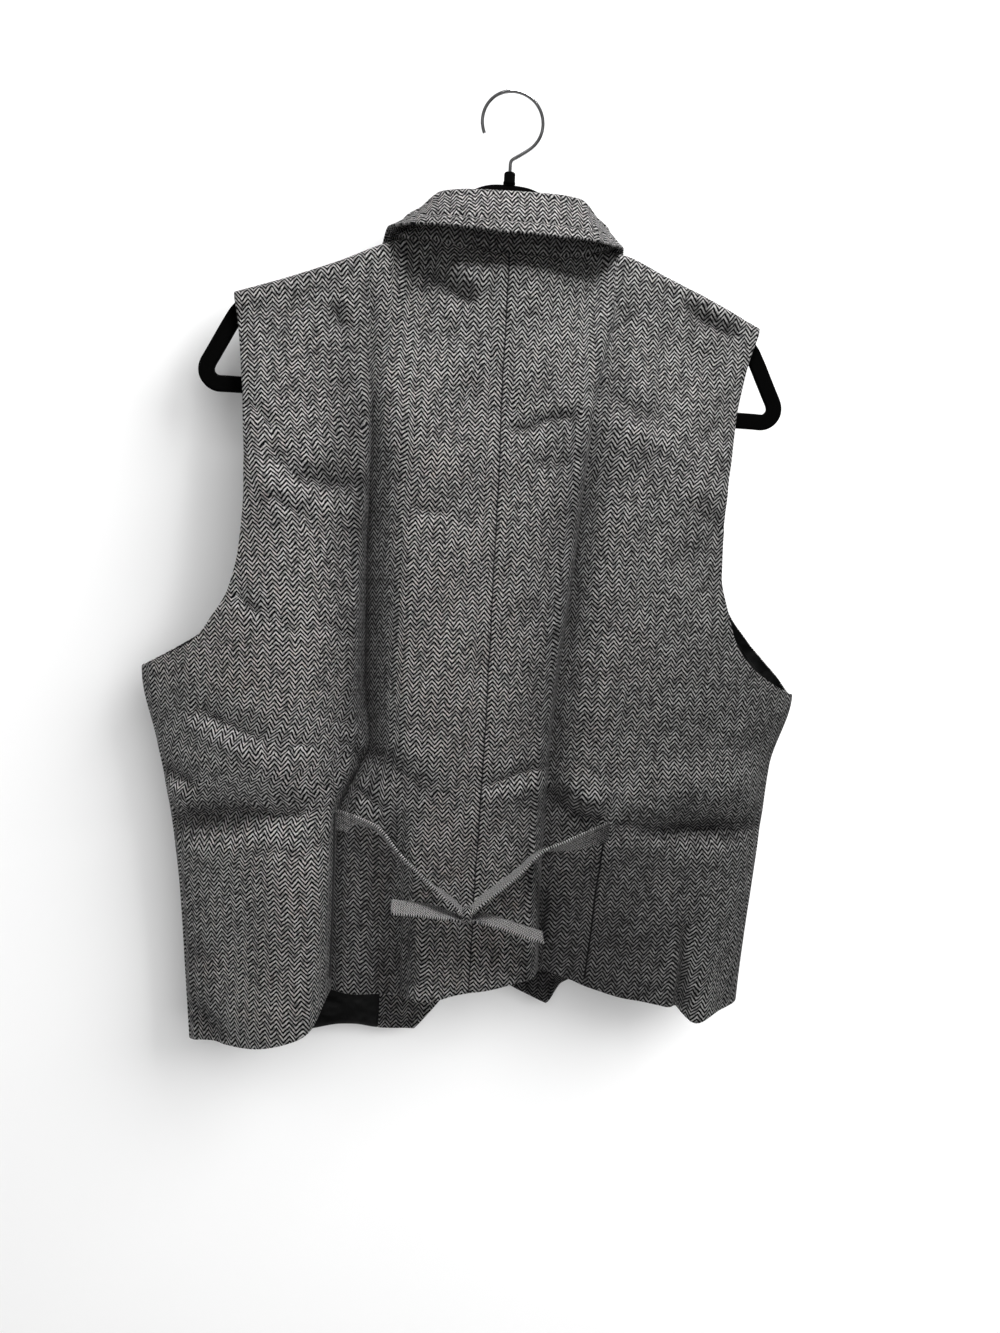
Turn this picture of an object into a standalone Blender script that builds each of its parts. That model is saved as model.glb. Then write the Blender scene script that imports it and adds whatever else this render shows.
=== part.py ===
"""Herringbone vest hanging on a slim flocked hanger.

The script works in metres with +Z up, and its tables are in millimetres. A height is given as a
drop below the hanger's apex. The back of the vest faces -Y and the wearer's left is at -X. The
origin is the inside of the hook's crown, where a rail holds the hanger.
"""
import math
from collections import namedtuple

import bmesh
import bpy
import numpy as np

# Driving dimensions, in millimetres
MM = 0.001
APEX_BELOW_CROWN = 66.0
SEAM_GAP = 0.3
INSIDE_GAP = 0.6
CLOTH = 2.0
FRONT_CLOTH = 1.8
FACING_CLOTH = 1.2
LINING_CLOTH = 1.0
NECK_HALF = 82.0
NECK_RING = 22.0
SHOULDER_TIP = 197.0
SHOULDER_ROUND = 8.0
NECK_SOFTENING = 22.0
UNDERARM_DROP = 370.0
HEM_LEVEL = 665.0
SECTION_POWER = 3.0
SIDE_CROWDING = 1.6
SIDE_FADE = 0.5
HANG_REACH = 160.0
LAP_LIFT = 4.8
LAP_RISE_START = 45.0
LAP_RISE_END = 19.0
BUTTON_RADIUS = 7.5
BUTTON_HEIGHT = 3.0
BUTTON_GAP = 0.6
BUTTON_SEGMENTS = 20
BUTTON_DROPS = (285.0, 380.0, 475.0, 562.0)
HANGER_THICKNESS = 5.0
HANGER_BAND = 12.0
HANGER_BEVEL = 1.2
HOOK_WIRE = 3.2
HOOK_INNER_RADIUS = 21.0
HOOK_ARC_DEGREES = (-52.0, 205.0)
HOOK_ARC_STEPS = 22
HOOK_BEND_STEPS = 6
HOOK_SHANK = 5.0
HOOK_BEND_PULL = 14.0
NECK_STUB_WIDTH = 9.0
NECK_STUB_HEIGHT = 9.0
NECK_STUB_TAPER = 0.9
NORMAL_STEP = 0.001

# Grid sizes: columns across a panel, rows down it
BACK_GRID = (20, 31)
FRONT_GRID = (12, 26)
FACING_COLUMNS = 4
FACING_SHARE = FACING_COLUMNS / FRONT_GRID[0]
INSIDE_TOP_ROW = 6
LINING_INSET = 0.005
COLLAR_COLUMNS = 26
LAPEL_GRID = (4, 9)
TIE_ROWS = 14

# The top edge of the panels: the neck seam out to the neck point, then the shoulder seam
TopEdge = namedtuple("TopEdge", "x left right")
TOP_EDGE = [
    TopEdge(0, 57, 57),
    TopEdge(20, 56, 56),
    TopEdge(45, 53, 52),
    TopEdge(65, 50, 48),
    TopEdge(82, 51, 45),
    TopEdge(122, 67, 59),
    TopEdge(158, 81.5, 74),
    TopEdge(197, 95.5, 91),
]

# Drops of the panels' rows at the outer edge, close together at the shoulder and underarm
RowDrop = namedtuple("RowDrop", "share drop")
OUTER_ROWS = [RowDrop(0.13, 107), RowDrop(0.38, 285), RowDrop(0.62, UNDERARM_DROP)]

# Half widths of the whole body and its depth behind and before the hanger's plane
Body = namedtuple("Body", "drop left right back front")
BODY = [
    Body(91, 214, 212, 24, 22),
    Body(200, 226, 224, 37, 33),
    Body(300, 244, 238, 42, 38),
    Body(370, 252, 245, 44, 40),
    Body(426, 239, 231, 43, 40),
    Body(464, 230, 228, 41, 39),
    Body(530, 219, 223, 39, 37),
    Body(590, 213, 219, 38, 36),
    Body(665, 206, 216, 38, 36),
]

# The armhole edges of the back and the fronts, from the shoulder tip to the underarm
Armhole = namedtuple("Armhole", "drop back_left back_right front_left front_right")
ARMHOLE = [
    Armhole(91, 197, 197, 197, 197),
    Armhole(134, 190, 186, 188, 190),
    Armhole(173, 186, 180, 181, 186),
    Armhole(245, 181, 173, 174, 182),
    Armhole(281, 183, 173, 175, 188),
    Armhole(310, 189, 180, 183, 199),
    Armhole(330, 200, 188, 197, 213),
    Armhole(346, 211, 201, 214, 227),
    Armhole(360, 233, 222, 235, 239),
    Armhole(370, 252, 245, 252, 245),
]

# Hem lines, as the drop at a place across the body
Hem = namedtuple("Hem", "x drop")
BACK_HEM = [
    Hem(-206, 654),
    Hem(-196, 651),
    Hem(-165, 648),
    Hem(-128, 637),
    Hem(-117, 630),
    Hem(-104, 609),
    Hem(-73, 609),
    Hem(-40, 611),
    Hem(-4, 603),
    Hem(20, 598),
    Hem(59, 591),
    Hem(95, 595),
    Hem(120, 602),
    Hem(166, 611),
    Hem(180, 621),
    Hem(193, 616),
    Hem(216, 613),
]
FRONT_HEM = [
    Hem(-206, 654),
    Hem(-160, 660),
    Hem(-118, 659),
    Hem(-90, 655),
    Hem(-60, 659),
    Hem(-34, 659),
    Hem(72, 636),
    Hem(84, 618),
    Hem(110, 606),
    Hem(150, 610),
    Hem(216, 613),
]

# The open edge of each front: neck, break, centre front, then the cutaway to the point
OpenEdge = namedtuple("OpenEdge", "drop x")
LEFT_OPEN_EDGE = [
    OpenEdge(51, -82),
    OpenEdge(105, -63),
    OpenEdge(200, -22),
    OpenEdge(262, 20),
    OpenEdge(275, 23),
    OpenEdge(400, 27),
    OpenEdge(575, 32),
    OpenEdge(590, 23),
    OpenEdge(659, -34),
]
RIGHT_OPEN_EDGE = [
    OpenEdge(45, 82),
    OpenEdge(105, 64),
    OpenEdge(200, 29),
    OpenEdge(262, -4),
    OpenEdge(275, -7),
    OpenEdge(400, -3),
    OpenEdge(575, 2),
    OpenEdge(590, 15),
    OpenEdge(636, 72),
]

# Where each facing meets its lining, and the centre front line on which the buttons lie
LEFT_FACING_EDGE = [OpenEdge(100, -118), OpenEdge(200, -86), OpenEdge(275, -64), OpenEdge(659, -63)]
RIGHT_FACING_EDGE = [OpenEdge(100, 118), OpenEdge(200, 92), OpenEdge(275, 80), OpenEdge(636, 101)]
CENTRE_FRONT = [OpenEdge(45, 0), OpenEdge(275, 8), OpenEdge(660, 19)]

# Large folds of the back: the line each follows, its height outward and its reach to each side
Fold = namedtuple("Fold", "drop x height left right")
BACK_FOLDS = {
    "left valley": [
        Fold(80, -95, 0, 20, 40),
        Fold(170, -93, -5, 18, 44),
        Fold(260, -91, -11, 16, 46),
        Fold(386, -87, -13, 16, 48),
        Fold(440, -94, -14, 18, 54),
        Fold(470, -106, -17, 18, 62),
        Fold(560, -106, -24, 16, 66),
        Fold(610, -104, -27, 16, 66),
    ],
    "left panel ridge": [
        Fold(450, -140, 0, 50, 26),
        Fold(540, -134, 8, 52, 24),
        Fold(650, -128, 17, 56, 20),
    ],
    "right valley": [
        Fold(80, 87, 0, 26, 40),
        Fold(170, 79, -5, 26, 44),
        Fold(250, 69, -10, 26, 46),
        Fold(380, 58, -12, 26, 46),
        Fold(440, 54, -12, 26, 48),
        Fold(530, 64, -14, 24, 40),
        Fold(610, 77, -19, 24, 40),
    ],
    "right corner fold": [
        Fold(530, 170, 0, 10, 10),
        Fold(580, 170, -5, 10, 10),
        Fold(615, 168, -9, 10, 10),
    ],
    "right corner ridge": [
        Fold(540, 186, 0, 14, 16),
        Fold(615, 184, 7, 14, 18),
    ],
    "right waist buckle": [
        Fold(410, 190, 0, 70, 40),
        Fold(440, 190, 5, 70, 40),
        Fold(470, 190, -4, 70, 40),
        Fold(500, 190, 0, 70, 40),
    ],
    "left waist buckle": [
        Fold(415, -185, 0, 40, 80),
        Fold(435, -185, 5, 40, 80),
        Fold(464, -185, -6, 40, 80),
        Fold(500, -185, 0, 40, 80),
    ],
}
FRONT_FOLDS = {
    "left chest": [
        Fold(120, -120, 0, 40, 40),
        Fold(260, -110, -6, 36, 44),
        Fold(420, -104, -4, 36, 44),
        Fold(520, -110, 0, 40, 40),
    ],
    "left hem wave": [
        Fold(480, -150, 0, 40, 40),
        Fold(655, -150, -9, 40, 40),
    ],
    "right chest": [
        Fold(120, 118, 0, 40, 40),
        Fold(280, 112, -5, 40, 36),
        Fold(440, 118, 0, 40, 40),
    ],
    "right hem wave": [
        Fold(470, 128, 0, 44, 44),
        Fold(620, 120, -12, 40, 44),
    ],
}

# Stations of the collar's right half, from the centre back to its end on the front
CollarStation = namedtuple(
    "CollarStation", "seam_x seam_y seam_drop fold_x fold_y fold_drop edge_x edge_y edge_drop"
)
COLLAR = [
    CollarStation(0, -24.3, 56.4, 0, -30.0, 18, 0, -47.0, 43),
    CollarStation(30, -22.8, 54.0, 30, -28.5, 18, 31, -45.0, 43.5),
    CollarStation(54, -18.8, 49.0, 49, -22.0, 18.5, 60, -37.0, 44),
    CollarStation(71, -13.4, 45.0, 63, -12.0, 28, 78, -23.0, 45),
    CollarStation(80, -4.5, 42.0, 73, -1.0, 33, 87, -5.0, 42.6),
    CollarStation(78, 7.0, 43.5, 73, 10.0, 40, 92, 13.5, 53),
    CollarStation(73, 15.0, 60, 71, 17.5, 58, 102, 19.0, 72),
    CollarStation(64, 20.5, 88, 63, 23.0, 86.5, 108, 24.5, 98),
]
COLLAR_TILT = 0.03
COLLAR_ON_NECK = (0.29, 0.43)
COLLAR_ROLL_FADE = (0.45, 0.75)
COLLAR_ROLL_END = 0.35
COLLAR_ROLL = 4.0
COLLAR_STAND_ROWS = 3
COLLAR_ROLL_ROWS = 4
COLLAR_FALL_ROWS = 4

# The lapels: the roll line's drop, and how far the lapel reaches from it
Lapel = namedtuple("Lapel", "drop reach lower")
LAPEL = [
    Lapel(96, 57, 13),
    Lapel(125, 58, 7),
    Lapel(170, 50, 4),
    Lapel(210, 33, 2),
    Lapel(237, 14, 0),
]
LAPEL_CLOTH = 1.8
LAPEL_ROLL = 3.0
LAPEL_LIFT = 2.0
LAPEL_ROLL_REACH = 0.87

# Waist ties: the middle line of the inner face, and the band's turn from upright towards flat
Tie = namedtuple("Tie", "x y drop turn")
LEFT_TIE = [
    Tie(-104, -28.4, 472, 2),
    Tie(-92, -31.5, 478, 6),
    Tie(-77, -37, 484, 14),
    Tie(-54, -46.5, 506, 32),
    Tie(-27, -50.5, 527, 52),
    Tie(-12.2, -50.5, 536.5, 60),
]
RIGHT_TIE = [
    Tie(99, -41.2, 478, 2),
    Tie(84, -43, 484, 6),
    Tie(69, -45, 489, 14),
    Tie(48, -47.5, 497, 28),
    Tie(28, -50, 517, 48),
    Tie(1.2, -50.5, 536.5, 60),
]
LEFT_END = [Tie(-12.7, -49, 543, 40), Tie(-36, -50.5, 539, 40), Tie(-62, -51, 535, 36)]
RIGHT_END = [Tie(1.7, -49, 543, 40), Tie(28, -50.5, 547, 36), Tie(54, -51, 554, 30)]
TIE_BAND = 16.0
TIE_CLOTH = 2.4
TIE_END_BAND = 12.0
KNOT_CENTRE = (-5.5, -48.6, 541.0)
KNOT_HALF = (7.0, 7.0, 6.5)

# The hanger's outer line, from the apex to the middle of the bottom bar
HANGER_LINE = [
    (0, 0),
    (16, -1.5),
    (30, -8),
    (47, -22),
    (64, -38),
    (84, -54),
    (122, -68.6),
    (158, -83),
    (192, -95),
    (207, -105.5),
    (217, -121),
    (220, -138),
    (217.5, -153),
    (208, -163.5),
    (190, -166),
    (100, -166),
    (0, -166),
]


# Reading tables and blending


def read(rows, at, column):
    """A column of a table at a value of its first column, smooth and without overshoot."""
    keys = np.array([row[0] for row in rows], float)
    values = np.array([getattr(row, column) for row in rows], float)
    steps = np.diff(keys)
    rises = np.diff(values) / steps
    slopes = np.zeros_like(values)
    for i in range(1, len(values) - 1):
        if rises[i - 1] * rises[i] > 0:
            slopes[i] = 2.0 / (1.0 / rises[i - 1] + 1.0 / rises[i])
    slopes[0] = rises[0]
    slopes[-1] = rises[-1]
    at = np.clip(at, keys[0], keys[-1])
    i = np.clip(np.searchsorted(keys, at, side="right") - 1, 0, len(steps) - 1)
    t = (at - keys[i]) / steps[i]
    start = values[i] * (1 + 2 * t) * (1 - t) ** 2 + slopes[i] * steps[i] * t * (1 - t) ** 2
    end = values[i + 1] * (3 - 2 * t) * t**2 - slopes[i + 1] * steps[i] * (1 - t) * t**2
    return start + end


def mix(low, high, share):
    return low + (high - low) * share


def side_spacing(share):
    """Columns closer together towards the side seam, where the section rounds."""
    return 1 - (1 - share) ** SIDE_CROWDING


def ramp(value, low, high):
    """A soft step from 0 at low to 1 at high."""
    t = np.clip((value - low) / (high - low), 0.0, 1.0)
    return t * t * (3 - 2 * t)


# The body's form


def top_line(x):
    return np.where(x < 0, read(TOP_EDGE, np.abs(x), "left"), read(TOP_EDGE, np.abs(x), "right"))


def body_half_width(x, drop):
    return np.where(x < 0, read(BODY, drop, "left"), read(BODY, drop, "right"))


def fold_height(folds, x, drop):
    """How far the folds move the cloth outward."""
    total = np.zeros_like(x)
    for rows in folds.values():
        centre = read(rows, drop, "x")
        reach = np.where(x < centre, read(rows, drop, "left"), read(rows, drop, "right"))
        away = np.clip(np.abs(x - centre) / reach, 0.0, 1.0)
        total += read(rows, drop, "height") * (1 - away**2) ** 2
    return total


def body_depth(x, drop, column, ring_depth, folds):
    """Distance of the cloth's inner face from the hanger's plane."""
    below = np.maximum(drop - top_line(x), 0.0)
    ring = ring_depth * np.sqrt(np.maximum(0.0, 1 - (x / NECK_HALF) ** 2))
    near = np.minimum(below / SHOULDER_ROUND, 1.0)
    rounded = SHOULDER_ROUND * np.sqrt(1 - (1 - near) ** 2)
    at_top = ring + rounded * ramp(np.abs(x), NECK_HALF - NECK_SOFTENING, NECK_HALF)
    across = np.abs(x) / body_half_width(x, drop)
    lens = np.sqrt(np.maximum(0.0, 1 - across**SECTION_POWER))
    hanging = read(BODY, drop, column) * lens
    fold_share = np.minimum(1.0, lens / SIDE_FADE)
    depth = mix(at_top, hanging, ramp(below, 0.0, HANG_REACH))
    return depth + fold_height(folds, x, drop) * fold_share + SEAM_GAP / 2


def back_y(x, drop):
    return -body_depth(x, drop, "back", NECK_RING, BACK_FOLDS)


def front_y(x, drop, side):
    lift = 0.0
    if side < 0:
        centre = read(CENTRE_FRONT, drop, "x")
        lift = LAP_LIFT * ramp(x, centre - LAP_RISE_START, centre - LAP_RISE_END)
    return body_depth(x, drop, "front", 0.0, FRONT_FOLDS) + lift


# Panels, as patches between an inner edge, an outer edge, a top edge and a hem


def row_drops(rows, tip_drop, hem_drop):
    """Drops of a panel's rows at its outer edge, from the shoulder tip to the hem."""
    shares = [0.0, *(row.share for row in OUTER_ROWS), 1.0]
    return np.interp(rows, shares, [tip_drop, *(row.drop for row in OUTER_ROWS), hem_drop])


def outer_edge(drop, side, layer):
    name = layer + ("_left" if side < 0 else "_right")
    armhole = read(ARMHOLE, drop, name)
    seam = read(BODY, drop, "left" if side < 0 else "right")
    return side * np.where(drop < UNDERARM_DROP, armhole, seam)


def patch(across, down, inner_line, outer_line, top_line, hem_line):
    """Blend four edge lines into one panel; top and hem only bend the cloth near them."""
    near_top = (1 - down) ** 3
    near_hem = down**4
    x = mix(inner_line[0], outer_line[0], across)
    drop = mix(inner_line[1], outer_line[1], across)
    drop = drop + near_top * (top_line(x) - mix(top_line(inner_line[2]), top_line(outer_line[2]), across))
    return x, drop + near_hem * (hem_line(x) - mix(hem_line(inner_line[3]), hem_line(outer_line[3]), across))


def panel_outer(rows, side, layer, hem):
    """A panel's outer edge as x, drop, top x and hem x, and how far down the panel each row lies."""
    hem_x = side * read(BODY, HEM_LEVEL, "left" if side < 0 else "right")
    hem_drop = read(hem, hem_x, "drop")
    tip_drop = top_line(side * SHOULDER_TIP)
    drop = row_drops(rows, tip_drop, hem_drop)
    down = (drop - tip_drop) / (hem_drop - tip_drop)
    return (outer_edge(drop, side, layer), drop, side * SHOULDER_TIP, hem_x), down


def back_surface(side):
    """Inner face of a back panel, over shares of its width and its rows."""
    seam_x = side * SEAM_GAP / 2

    def hem_line(x):
        return read(BACK_HEM, x, "drop")

    def surface(share, rows):
        outer, down = panel_outer(rows, side, "back", BACK_HEM)
        inner_drop = mix(top_line(seam_x), hem_line(seam_x), down)
        inner = (np.full_like(down, seam_x), inner_drop, seam_x, seam_x)
        x, drop = patch(side_spacing(share), down, inner, outer, top_line, hem_line)
        return x, back_y(x, drop), drop

    return surface


def front_edge_rows(side):
    return LEFT_OPEN_EDGE if side < 0 else RIGHT_OPEN_EDGE


def front_columns(side, share, inner_x, outer_x, inner_drop):
    """Where a front's columns lie across it: first the facing's, then closer towards the side."""
    facing_rows = LEFT_FACING_EDGE if side < 0 else RIGHT_FACING_EDGE
    split = (read(facing_rows, inner_drop, "x") - inner_x) / (outer_x - inner_x)
    beyond = np.maximum(share - FACING_SHARE, 0.0) / (1 - FACING_SHARE)
    on_facing = split * share / FACING_SHARE
    return np.where(share <= FACING_SHARE, on_facing, mix(split, 1.0, side_spacing(beyond)))


def front_surface(side):
    """Inner face of a front panel, over shares of its width and its rows."""
    edge_rows = front_edge_rows(side)
    point_x = edge_rows[-1].x

    def hem_line(x):
        return read(FRONT_HEM, x, "drop")

    def surface(share, rows):
        outer, down = panel_outer(rows, side, "front", FRONT_HEM)
        inner_drop = mix(edge_rows[0].drop, edge_rows[-1].drop, down)
        inner_x = read(edge_rows, inner_drop, "x")
        inner = (inner_x, inner_drop, side * NECK_HALF, point_x)
        across = front_columns(side, share, inner_x, outer[0], inner_drop)
        x, drop = patch(across, down, inner, outer, top_line, hem_line)
        return x, front_y(x, drop, side), drop

    return surface


# Points moved out from a surface


def world(x, y, drop):
    """Points in metres in the part's frame, from millimetres below the hanger's apex."""
    return np.stack([x, y, -APEX_BELOW_CROWN - drop], axis=-1) * MM


def moved_out(surface, distance, outward_y):
    """The surface moved along its normal, which points to the given side of the hanger."""

    def moved(across, rows):
        here = world(*surface(across, rows))
        ahead = world(*surface(np.clip(across + NORMAL_STEP, 0, 1), rows))
        behind = world(*surface(np.clip(across - NORMAL_STEP, 0, 1), rows))
        lower = world(*surface(across, np.clip(rows + NORMAL_STEP, 0, 1)))
        upper = world(*surface(across, np.clip(rows - NORMAL_STEP, 0, 1)))
        normal = np.cross(ahead - behind, lower - upper)
        normal = normal / np.linalg.norm(normal, axis=-1, keepdims=True)
        facing = np.sign(np.mean(normal[..., 1]) * outward_y)
        return here + normal * facing * distance * MM

    return moved


def part_of(surface, share_range, row_range):
    """A stretch of a surface between two shares of its width and two of its rows."""

    def stretch(share, rows):
        return surface(mix(*share_range, share), mix(*row_range, rows))

    return stretch


# Making objects


def make_material(name, colour, roughness, metallic=0.0):
    material = bpy.data.materials.new(name)
    material.use_nodes = True
    shader = material.node_tree.nodes["Principled BSDF"]
    shader.inputs["Base Color"].default_value = (*colour, 1.0)
    shader.inputs["Roughness"].default_value = roughness
    shader.inputs["Metallic"].default_value = metallic
    return material


def add_object(name, data, material, collection):
    made = bpy.data.objects.new(name, data)
    made.data.materials.append(material)
    collection.objects.link(made)
    return made


def sheet_object(name, points, grid, outward, thickness, look):
    """A cloth wall: a grid laid on a surface, thickened on its outward side."""
    columns, rows = grid
    sheet = bmesh.new()
    bmesh.ops.create_grid(sheet, x_segments=columns, y_segments=rows, size=0.5)
    bmesh.ops.triangulate(sheet, faces=sheet.faces, quad_method="FIXED")
    across = np.array([vert.co.x + 0.5 for vert in sheet.verts])
    down = np.array([0.5 - vert.co.y for vert in sheet.verts])
    placed = points(across, down)
    for vert, place in zip(sheet.verts, placed):
        vert.co = place
    sheet.normal_update()
    facing = 0.0
    for face in sheet.faces:
        facing += face.normal.dot(outward(face.calc_center_median())) * face.calc_area()
    if facing < 0:
        bmesh.ops.reverse_faces(sheet, faces=sheet.faces)
    mesh = bpy.data.meshes.new(name)
    sheet.to_mesh(mesh)
    sheet.free()
    mesh.shade_smooth()
    made = add_object(name, mesh, *look)
    wall = made.modifiers.new("wall", "SOLIDIFY")
    wall.thickness = thickness * MM
    wall.offset = 1.0
    return made


def towards(y):
    return lambda centre: (0.0, y, 0.0)


def plain(surface):
    return lambda across, rows: world(*surface(across, rows))


# Vest panels


def build_backs(cloth, collection):
    for side, name in ((-1, "back_left"), (1, "back_right")):
        sheet_object(name, plain(back_surface(side)), BACK_GRID, towards(-1), CLOTH, (cloth, collection))


def build_fronts(cloth, lining, collection):
    columns, rows = FRONT_GRID
    inside_rows = (INSIDE_TOP_ROW / rows, 1.0)
    row_count = rows - INSIDE_TOP_ROW
    facing_range = (0.0, FACING_SHARE)
    lining_range = (FACING_SHARE + LINING_INSET, (columns - 1) / columns)
    for side, label in ((-1, "left"), (1, "right")):
        surface = front_surface(side)
        outside = (cloth, collection)
        sheet_object("front_" + label, plain(surface), FRONT_GRID, towards(1), FRONT_CLOTH, outside)
        facing = moved_out(part_of(surface, facing_range, inside_rows), -INSIDE_GAP, 1)
        facing_grid = (FACING_COLUMNS, row_count)
        sheet_object("front_facing_" + label, facing, facing_grid, towards(-1), FACING_CLOTH, outside)
        inside = moved_out(part_of(surface, lining_range, inside_rows), -INSIDE_GAP, 1)
        lining_grid = (columns - FACING_COLUMNS - 1, row_count)
        satin = (lining, collection)
        sheet_object("front_lining_" + label, inside, lining_grid, towards(-1), LINING_CLOTH, satin)


# Collar and lapels


def collar_rows():
    """Both halves of the collar's stations, keyed by their place from -1 to 1."""
    last = len(COLLAR) - 1
    right = [(i / last, station) for i, station in enumerate(COLLAR)]
    left = [
        (-place, station._replace(seam_x=-station.seam_x, fold_x=-station.fold_x, edge_x=-station.edge_x))
        for place, station in right[1:]
    ]
    keyed = namedtuple("KeyedStation", ("place",) + CollarStation._fields)
    return [keyed(place, *station) for place, station in sorted(left + right)]


def collar_profile():
    """Shares along the stand, the roll and the fall, with a row for each."""
    stand = [("stand", i / COLLAR_STAND_ROWS) for i in range(COLLAR_STAND_ROWS)]
    roll = [("roll", i / COLLAR_ROLL_ROWS) for i in range(COLLAR_ROLL_ROWS)]
    fall = [("fall", i / COLLAR_FALL_ROWS) for i in range(COLLAR_FALL_ROWS + 1)]
    return stand + roll + fall


def collar_points(across, rows):
    """The collar's inner face: up the stand, over the roll and down the fall."""
    stations = collar_rows()
    profile = collar_profile()
    places = across * 2 - 1
    columns = {
        name: np.array([read(stations, place, name) for place in places]) for name in CollarStation._fields
    }
    on_neck = 1 - ramp(np.abs(places), *COLLAR_ON_NECK)
    seam_drop = mix(columns["seam_drop"], top_line(columns["seam_x"]) - SEAM_GAP, on_neck)
    tilt = -COLLAR_TILT * columns["fold_x"]
    seam = world(columns["seam_x"], columns["seam_y"], seam_drop + tilt * (1 - on_neck))
    fold = world(columns["fold_x"], columns["fold_y"], columns["fold_drop"] + tilt)
    edge = world(columns["edge_x"], columns["edge_y"], columns["edge_drop"] + tilt)
    out = edge - seam
    out[:, 2] = 0.0
    out = out / np.linalg.norm(out, axis=-1, keepdims=True)
    up = np.array([0.0, 0.0, 1.0])
    flattened = mix(1.0, COLLAR_ROLL_END, ramp(np.abs(places), *COLLAR_ROLL_FADE))
    radius = COLLAR_ROLL * MM * flattened[:, None]
    points = np.zeros_like(seam)
    for i, row in enumerate(rows):
        stretch, share = profile[int(round(row * (len(profile) - 1)))]
        if stretch == "stand":
            points[i] = mix(seam[i], fold[i] - out[i] * radius[i], share)
        elif stretch == "roll":
            angle = math.pi * (1 - share)
            points[i] = fold[i] + radius[i] * (out[i] * math.cos(angle) + up * math.sin(angle))
        else:
            points[i] = mix(fold[i] + out[i] * radius[i], edge[i], share)
    return points


def collar_outward(centre):
    """The fall faces away from the neck's middle and up."""
    return (centre.x, centre.y - 0.01, 0.02)


def build_collar(cloth, collection):
    grid = (COLLAR_COLUMNS, len(collar_profile()) - 1)
    return sheet_object("collar", collar_points, grid, collar_outward, CLOTH, (cloth, collection))


def lapel_surface(side):
    """A lapel on its front: from the roll line outward, above the front's outer face."""
    edge_rows = front_edge_rows(side)

    def surface(across, rows):
        roll_drop = mix(LAPEL[0].drop, LAPEL[-1].drop, rows)
        x = read(edge_rows, roll_drop, "x") + side * across * read(LAPEL, roll_drop, "reach")
        drop = roll_drop + across * read(LAPEL, roll_drop, "lower")
        roll = np.sin(np.pi * np.clip(across / LAPEL_ROLL_REACH, 0, 1)) ** 2
        return x, front_y(x, drop, side) + FRONT_CLOTH + LAPEL_LIFT + LAPEL_ROLL * roll, drop

    return surface


def build_lapels(cloth, collection):
    for side, label in ((-1, "left"), (1, "right")):
        points = plain(lapel_surface(side))
        sheet_object("lapel_" + label, points, LAPEL_GRID, towards(1), LAPEL_CLOTH, (cloth, collection))


# Waist ties


def tie_points(rows_table, band):
    """A band along its middle line, turned from upright at the root to flat at the knot."""
    first = rows_table[0].x
    last = rows_table[-1].x
    ordered = sorted(rows_table)

    def points(across, rows):
        x = mix(first, last, rows)
        drop = read(ordered, x, "drop")
        turn = np.radians(read(ordered, x, "turn"))
        middle = world(x, read(ordered, x, "y"), drop)
        width = np.stack([np.zeros_like(x), -np.sin(turn), np.cos(turn)], axis=-1)
        return middle + width * ((0.5 - across) * band * MM)[:, None]

    return points


def build_ties(cloth, collection):
    bands = (
        ("tie_left", LEFT_TIE, TIE_BAND, TIE_ROWS),
        ("tie_right", RIGHT_TIE, TIE_BAND, TIE_ROWS),
        ("tie_end_left", LEFT_END, TIE_END_BAND, TIE_ROWS // 2),
        ("tie_end_right", RIGHT_END, TIE_END_BAND, TIE_ROWS // 2),
    )
    for name, rows_table, band, rows in bands:
        points = tie_points(rows_table, band)
        sheet_object(name, points, (2, rows), towards(-1), TIE_CLOTH, (cloth, collection))


def build_knot(cloth, collection):
    knot = bmesh.new()
    bmesh.ops.create_uvsphere(knot, u_segments=12, v_segments=8, radius=1.0)
    centre = world(*KNOT_CENTRE)
    for vert in knot.verts:
        vert.co = [centre[i] + vert.co[i] * KNOT_HALF[i] * MM for i in range(3)]
    mesh = bpy.data.meshes.new("tie_knot")
    knot.to_mesh(mesh)
    knot.free()
    mesh.shade_smooth()
    return add_object("tie_knot", mesh, cloth, collection)


# Buttons


def build_buttons(plastic, collection):
    for number, drop in enumerate(BUTTON_DROPS, start=1):
        x = float(read(CENTRE_FRONT, drop, "x"))
        y = float(front_y(np.array([x]), np.array([drop]), -1)[0]) + FRONT_CLOTH + BUTTON_GAP
        disc = bmesh.new()
        bmesh.ops.create_cone(
            disc,
            cap_ends=True,
            segments=BUTTON_SEGMENTS,
            radius1=BUTTON_RADIUS * MM,
            radius2=BUTTON_RADIUS * MM,
            depth=BUTTON_HEIGHT * MM,
        )
        mesh = bpy.data.meshes.new(f"button_{number}")
        disc.to_mesh(mesh)
        disc.free()
        made = add_object(f"button_{number}", mesh, plastic, collection)
        made.rotation_euler = (math.pi / 2, 0.0, 0.0)
        made.location = world(x, y + BUTTON_HEIGHT / 2, drop)


# Hanger


def smooth_line(points, steps):
    """A Catmull-Rom line through the points, with the same number of steps in each stretch."""
    line = []
    padded = [points[0], *points, points[-1]]
    for before, start, end, after in zip(padded, padded[1:], padded[2:], padded[3:]):
        for i in range(steps):
            t = i / steps
            weights = (
                (-t + 2 * t**2 - t**3) / 2,
                (2 - 5 * t**2 + 3 * t**3) / 2,
                (t + 4 * t**2 - 3 * t**3) / 2,
                (-(t**2) + t**3) / 2,
            )
            corners = (before, start, end, after)
            line.append(tuple(sum(w * corner[k] for w, corner in zip(weights, corners)) for k in range(2)))
    line.append(points[-1])
    return line


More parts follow.
